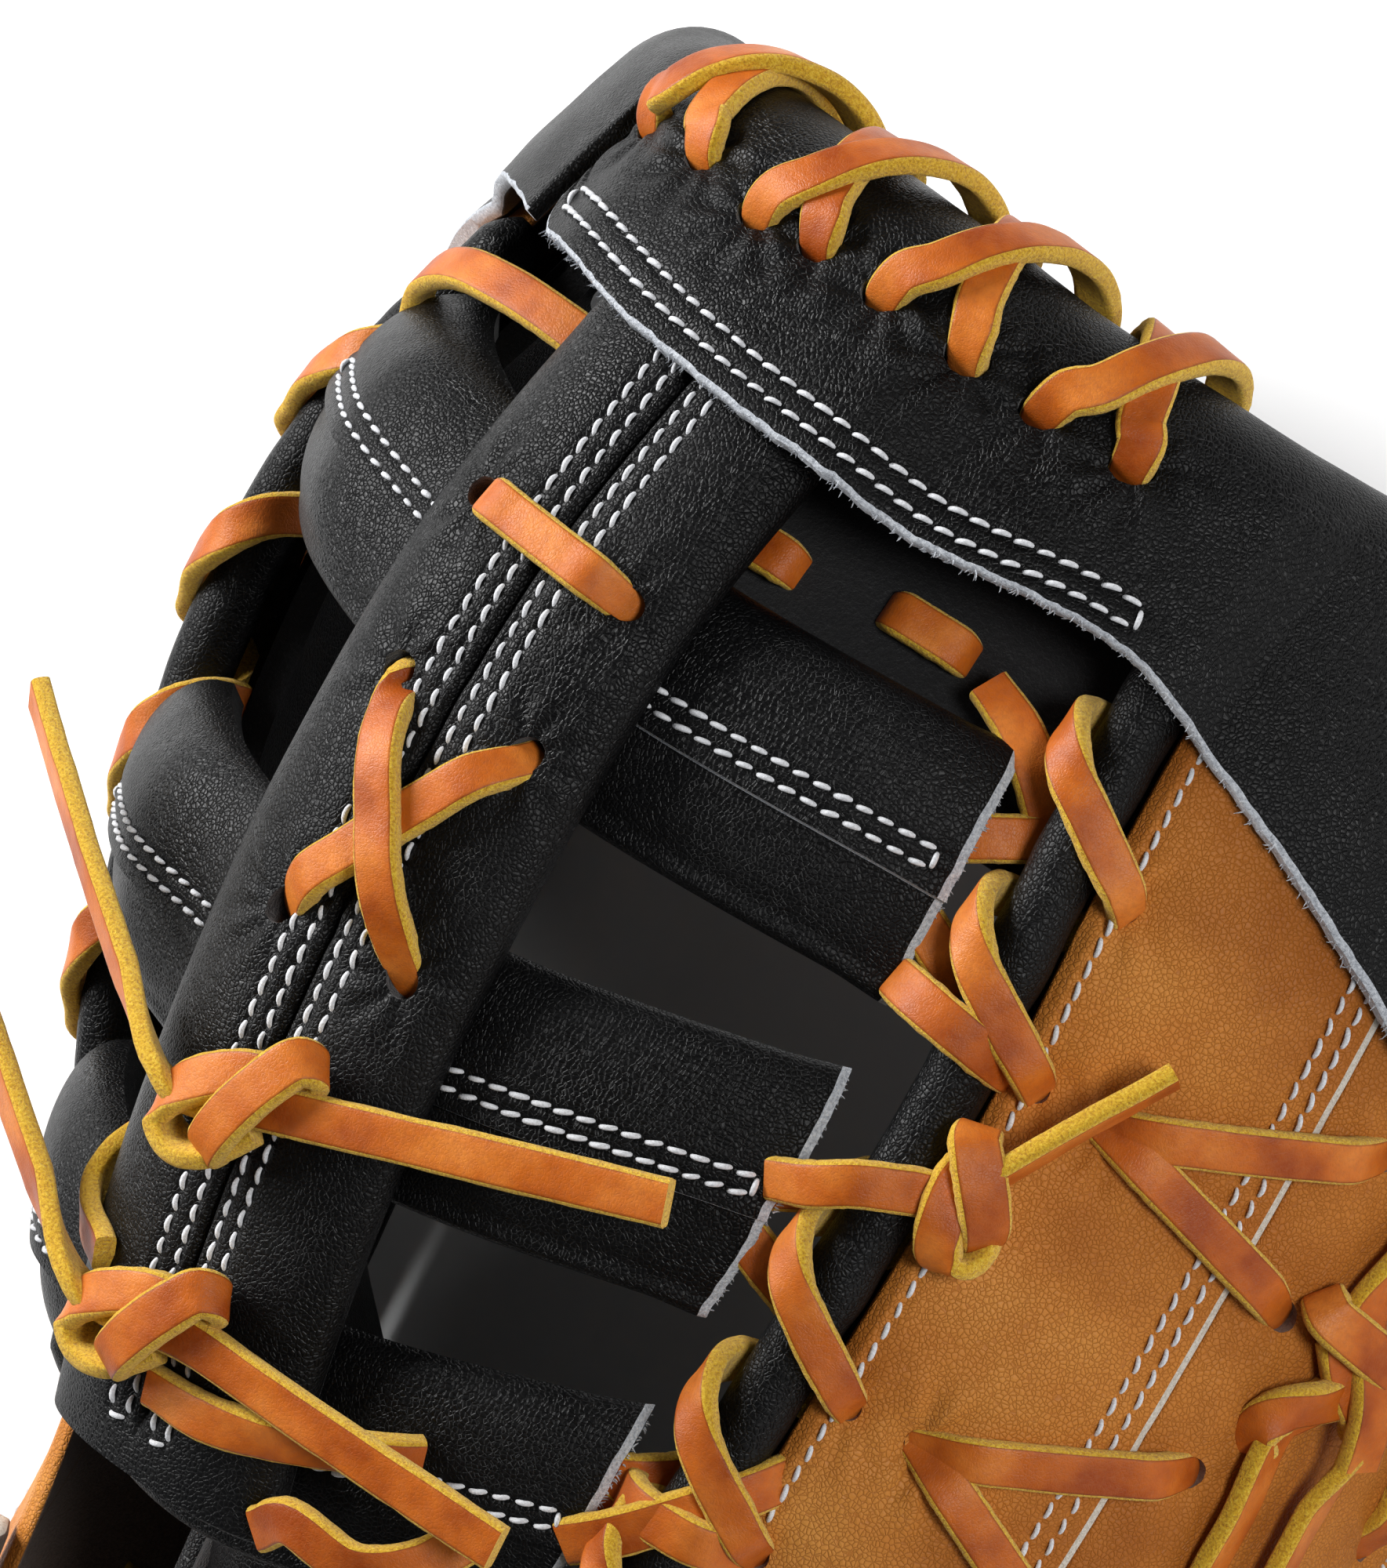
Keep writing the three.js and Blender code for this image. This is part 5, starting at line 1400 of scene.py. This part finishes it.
def make_inner_laces():
    """Strands that run on behind: between the bars' ends and the thumb roll, over the roll, on the
    inner flap, round the post's left edge and below its foot, and beside the band."""
    parts = []

    def add(rows, cuts):
        parts.append(strap(rows, cuts, 301 + len(parts)))
    for along, slant in ((256, -9), (249, 6), (231, -6), (199, 6), (186, -5), (155, 5), (147, -4)):
        web = float(section["web"](along))
        add(headed([(web - 20, along - slant, -3.0, 0.9), (web - 13, along - slant * 0.6, -1.0, 1.0),
                    (web - 8.5, along - slant * 0.2, 0.4, 1.0), (web - 4, along + slant * 0.2, -0.6, 1.0),
                    (web, along + slant * 0.6, -2.6, 1.0), (web + 6, along + slant, -3.5, 0.9)]), 6)
    over = ROLL_LIFT + ROLL
    across_roll = [(1.03, 1.0, 0.8), (0.95, 5.0, 0.85), (0.84, 8.0, 0.95), (0.68, 9.9, 1.0),
                   (0.5, over + HALF_LACE + 0.3, 1.0), (0.34, over + 0.6, 1.0), (0.12, ROLL_LIFT + 2.2, 1.0),
                   (0.0, ROLL_LIFT - 3, 0.95), (0.1, ROLL_LIFT - ROLL - 2.2, 0.9)]
    for hole, end in (((84.2, 222.6), (66.5, 226.5)), ((81.6, 154.6), (63.5, 153.0))):
        add([(mix(end[0], hole[0], k), mix(end[1], hole[1], k), h, heading(hole, end), w)
             for k, h, w in across_roll], 7)
    flap_lift = -6.3
    in_and_out = ((-0.04, -4, 0.8), (0, -1.5, 0.9), (0.12, 0, 1.0), (0.5, 0.2, 1.0), (0.88, 0, 1.0),
                  (1, -1.5, 0.9), (1.04, -4, 0.8))
    for start, end in (((12.5, 267.2), (22.5, 266.9)), ((38, 268.4), (49.5, 267.8))):
        add(headed([(mix(start[0], end[0], k), mix(start[1], end[1], k), flap_lift + d, w)
                    for k, d, w in in_and_out]), 6)
    left = (-0.8, 0.0, 0.6)
    up = POST_TOP
    parts.append(turned([(-14, 165, 0.5, 0.85, left), (-19.4, 161.4, 3.0, 0.9, left),
                         (-21.4, 156.8, 5.6, 0.9, left), (-20.4, 152.4, 8.0, 0.9, left),
                         (-16.5, 149.6, 10.4, 0.9, left), (-9, 147.6, up + 0.6, 0.85, left)], 331))
    parts.append(turned([(4, 137.0, up + 0.6, 0.9, FLAT), (13, 137.6, up + 1.2, 1, FLAT),
                         (21, 139.4, up + 0.4, 1, (0.1, -0.3, 0.9)),
                         (28, 141.6, up - 1.4, 1, (0.1, -0.3, 0.9)),
                         (34, 143.4, up - 4.0, 0.95, (0.3, -0.2, 0.9)),
                         (37.5, 144.4, up - 7.6, 0.85, (0.8, 0, 0.6))], 332))
    for row in (((-68, 263.5, 5.0), (-61, 269.5, 9.0), (-50, 273.6, 9.0), (-40, 275.6, 6.0),
                 (-30, 276.6, 2.0), (-22, 277, -2.0)),
                ((22, 127.0, 9.0), (27, 131.5, 12.2), (36.4, 131.0, 12.4), (43, 134.5, 10.0), (47, 139, 7.0)),
                ((58, 143.5, 3.0), (64, 149.5, 7.4), (70.5, 156.0, 8.8), (77, 162.0, 8.2), (82, 166, 5.0))):
        parts.append(turned([(*spot, 1.0, FLAT) for spot in row], 333 + len(parts)))
    lace_object("lace_inner_strands", parts)


# Holes of the lace over the top: place of the upper and the lower strand, share of LENGTH of both
TOP_HOLES = [(-0.42, -0.21, (0.958, 0.954)), (-0.035, 0.096, (0.944, 0.945)),
             (0.245, 0.42, (0.941, 0.938)), (0.57, 0.746, (0.936, 0.935))]


def make_laces():
    parts = []
    for k, (over, under, along) in enumerate(TOP_HOLES):
        parts.append(over_top(over, 0.29, along[0], LACE_THICK - 0.3, 201 + k))
        parts.append(over_top(under, -0.16, along[1], 0, 211 + k))
    lace_object("lace_top_strap", parts, "lace_top")
    single = share([(-0.122, 0.803), (0.192, 0.795)])
    lace("lace_post_strap", strap(thread(single, post_level, "post"), 8, 102))
    cross = share([(-0.058, 0.627), (0.186, 0.727), (-0.07, 0.731), (0.181, 0.627)])
    lace("lace_post_cross", strap(thread(cross, post_level, "post", (0, 0, LACE_THICK + 0.1)), 8, 103))

    c1, c2 = share([(0.055, 0.556), (0.03, 0.462)])
    up = POST_TOP

    def hanging(*rows):
        return [(a, s, up + rise, 1, tuple(float(HANG_FACE @ direction) for direction in frame_at(a, s)))
                for a, s, rise in rows]

    def lying(*rows):
        return [(a, s, up + rise, 1, FLAT) for a, s, rise in rows]
    tail_in = hanging((-54.5, 203.5, 12), (-42, 197, 10), (-30, 190, 8), (-17, 181, 5))
    tail_out = lying((28, 183, 0), (41, 187, 0), (54.4, 190.3, 19 - up))
    lace("lace_post_knot_upper", *knot(c1, up + 1.6, 28.5, tail_in, tail_out, 104, (1.0, 0.6)))
    tail_in = hanging((-49, 178, 16), (-38, 170, 13), (-26, 160, 9), (-15, 151, 5))
    tail_out = lying((27, 145, 0), (40, 144.5, 0), (52.0, 144.1, 18 - up))
    lace("lace_post_knot_lower", *knot(c2, up + 1.6, 20, tail_in, tail_out, 105, (1.0, 0.8)))

    lace("lace_web_thumb", turned(spiral(1, (0.425, 0.495, 0.564, 0.711, 0.789)), 106))
    lace("lace_web_finger", turned(spiral(-1, (0.43, 0.518, 0.606, 0.694, 0.78)), 107))
    make_inner_laces()
    for label, ends, along, seed in (("upper", ((1.51, 0.672), (1.54, 0.751)), 0.709, 108),
                                     ("lower", ((1.47, 0.512), (1.50, 0.598)), 0.561, 110)):
        parts = [strap(thread(placed([end, (1.19, along)]), back_level, "back"), 8, seed + i)
                 for i, end in enumerate(ends)]
        lace(f"lace_thumb_v_{label}", *parts)

    start = [(64.0, 197.0, 3.0, 0.9, FLAT), (68.1, 199.2, 8.5, 1, (-0.5, -0.2, 0.8)),
             (72.0, 202.0, 11.3, 1, FLAT), (78.0, 204.4, 11.4, 1, FLAT)]
    edge_on = (0.66, -0.46, 0.5)
    end = [(90.0, 217.5, 15.5, 1, edge_on), (93.4, 224.8, 16.6, 1, edge_on), (97.3, 232.9, 17.0, 1, edge_on)]
    tail = [(0, 1, 2.0, 0.9, FLAT), (5, -1, 3.4, 0.95, (-0.46, -0.66, 0.5))]
    lace("lace_thumb_knot", *knot((84.2, 206.6), 10.6, 88, start, end, 112, (0, 0.3), 2, 0.74, tail))

    across, along = SIDE_KNOT
    lift = float(half(to_place(across, along), along)) + 1.6

    def beside(da, ds, dh, outer=FLAT, w=1.0):
        return across + da, along + ds, lift + dh, w, outer
    tilt = (0.5, -0.1, 0.85)
    start = [beside(1.5, -52, 0.2, tilt), beside(2.5, -36, 0.6, tilt), beside(3.5, -20, 1.0, tilt)]
    end = [beside(-2.5, 16, 1.4, tilt), beside(-1.5, 30, 0.6, tilt)]
    second = turned([beside(-2, -6, 0.6, FLAT, 0.9), beside(-6.5, -11, 1.4, tilt),
                     beside(-6.5, -24, 1.0, tilt), beside(-7.5, -38, 0.4, tilt),
                     beside(-8.5, -52, 0, tilt)], 115)
    stub = turned([beside(-1.5, 3, 3.0, FLAT, 0.9), beside(1.0, -4, 5.6), beside(2.8, -9, 5.2),
                   beside(4.0, -12.5, 4.4)], 116)
    curl = turned([beside(-1, -5, 2.0, FLAT, 0.9), beside(-5, -7, 3.2, (-0.1, -0.45, 0.9)),
                   beside(-8.5, -9.5, 2.8, (-0.45, -0.5, 0.7)), beside(-9.6, -12.8, 1.4, (-0.8, -0.3, 0.4)),
                   beside(-7.5, -15.5, 0.0, (-0.6, 0, 0.6), 0.9)], 117)
    lace("lace_side_knot", *knot((across, along), lift, 130, start, end, 114), second, stub, curl)

    for side, label in ((1, "thumb"), (-1, "finger")):
        stops = placed([(side * 1.88, mix(0.1, 0.68, i / 7)) for i in range(8)])
        lace(f"lace_rim_{label}", strap(thread(stops, back_level, "back"), 6, 116 + side))


make_laces()
make_post()
for index, bar_row in enumerate(BARS):
    make_bar(index, bar_row)
make_band()
make_finger_cap()
make_palm()
make_back()
make_strap("back_bridge", 0.195, 0.295, 1.12, 94)
make_strap("wrist_strap", 0.07, 0.155, 1.2, 96)
make_rolls()
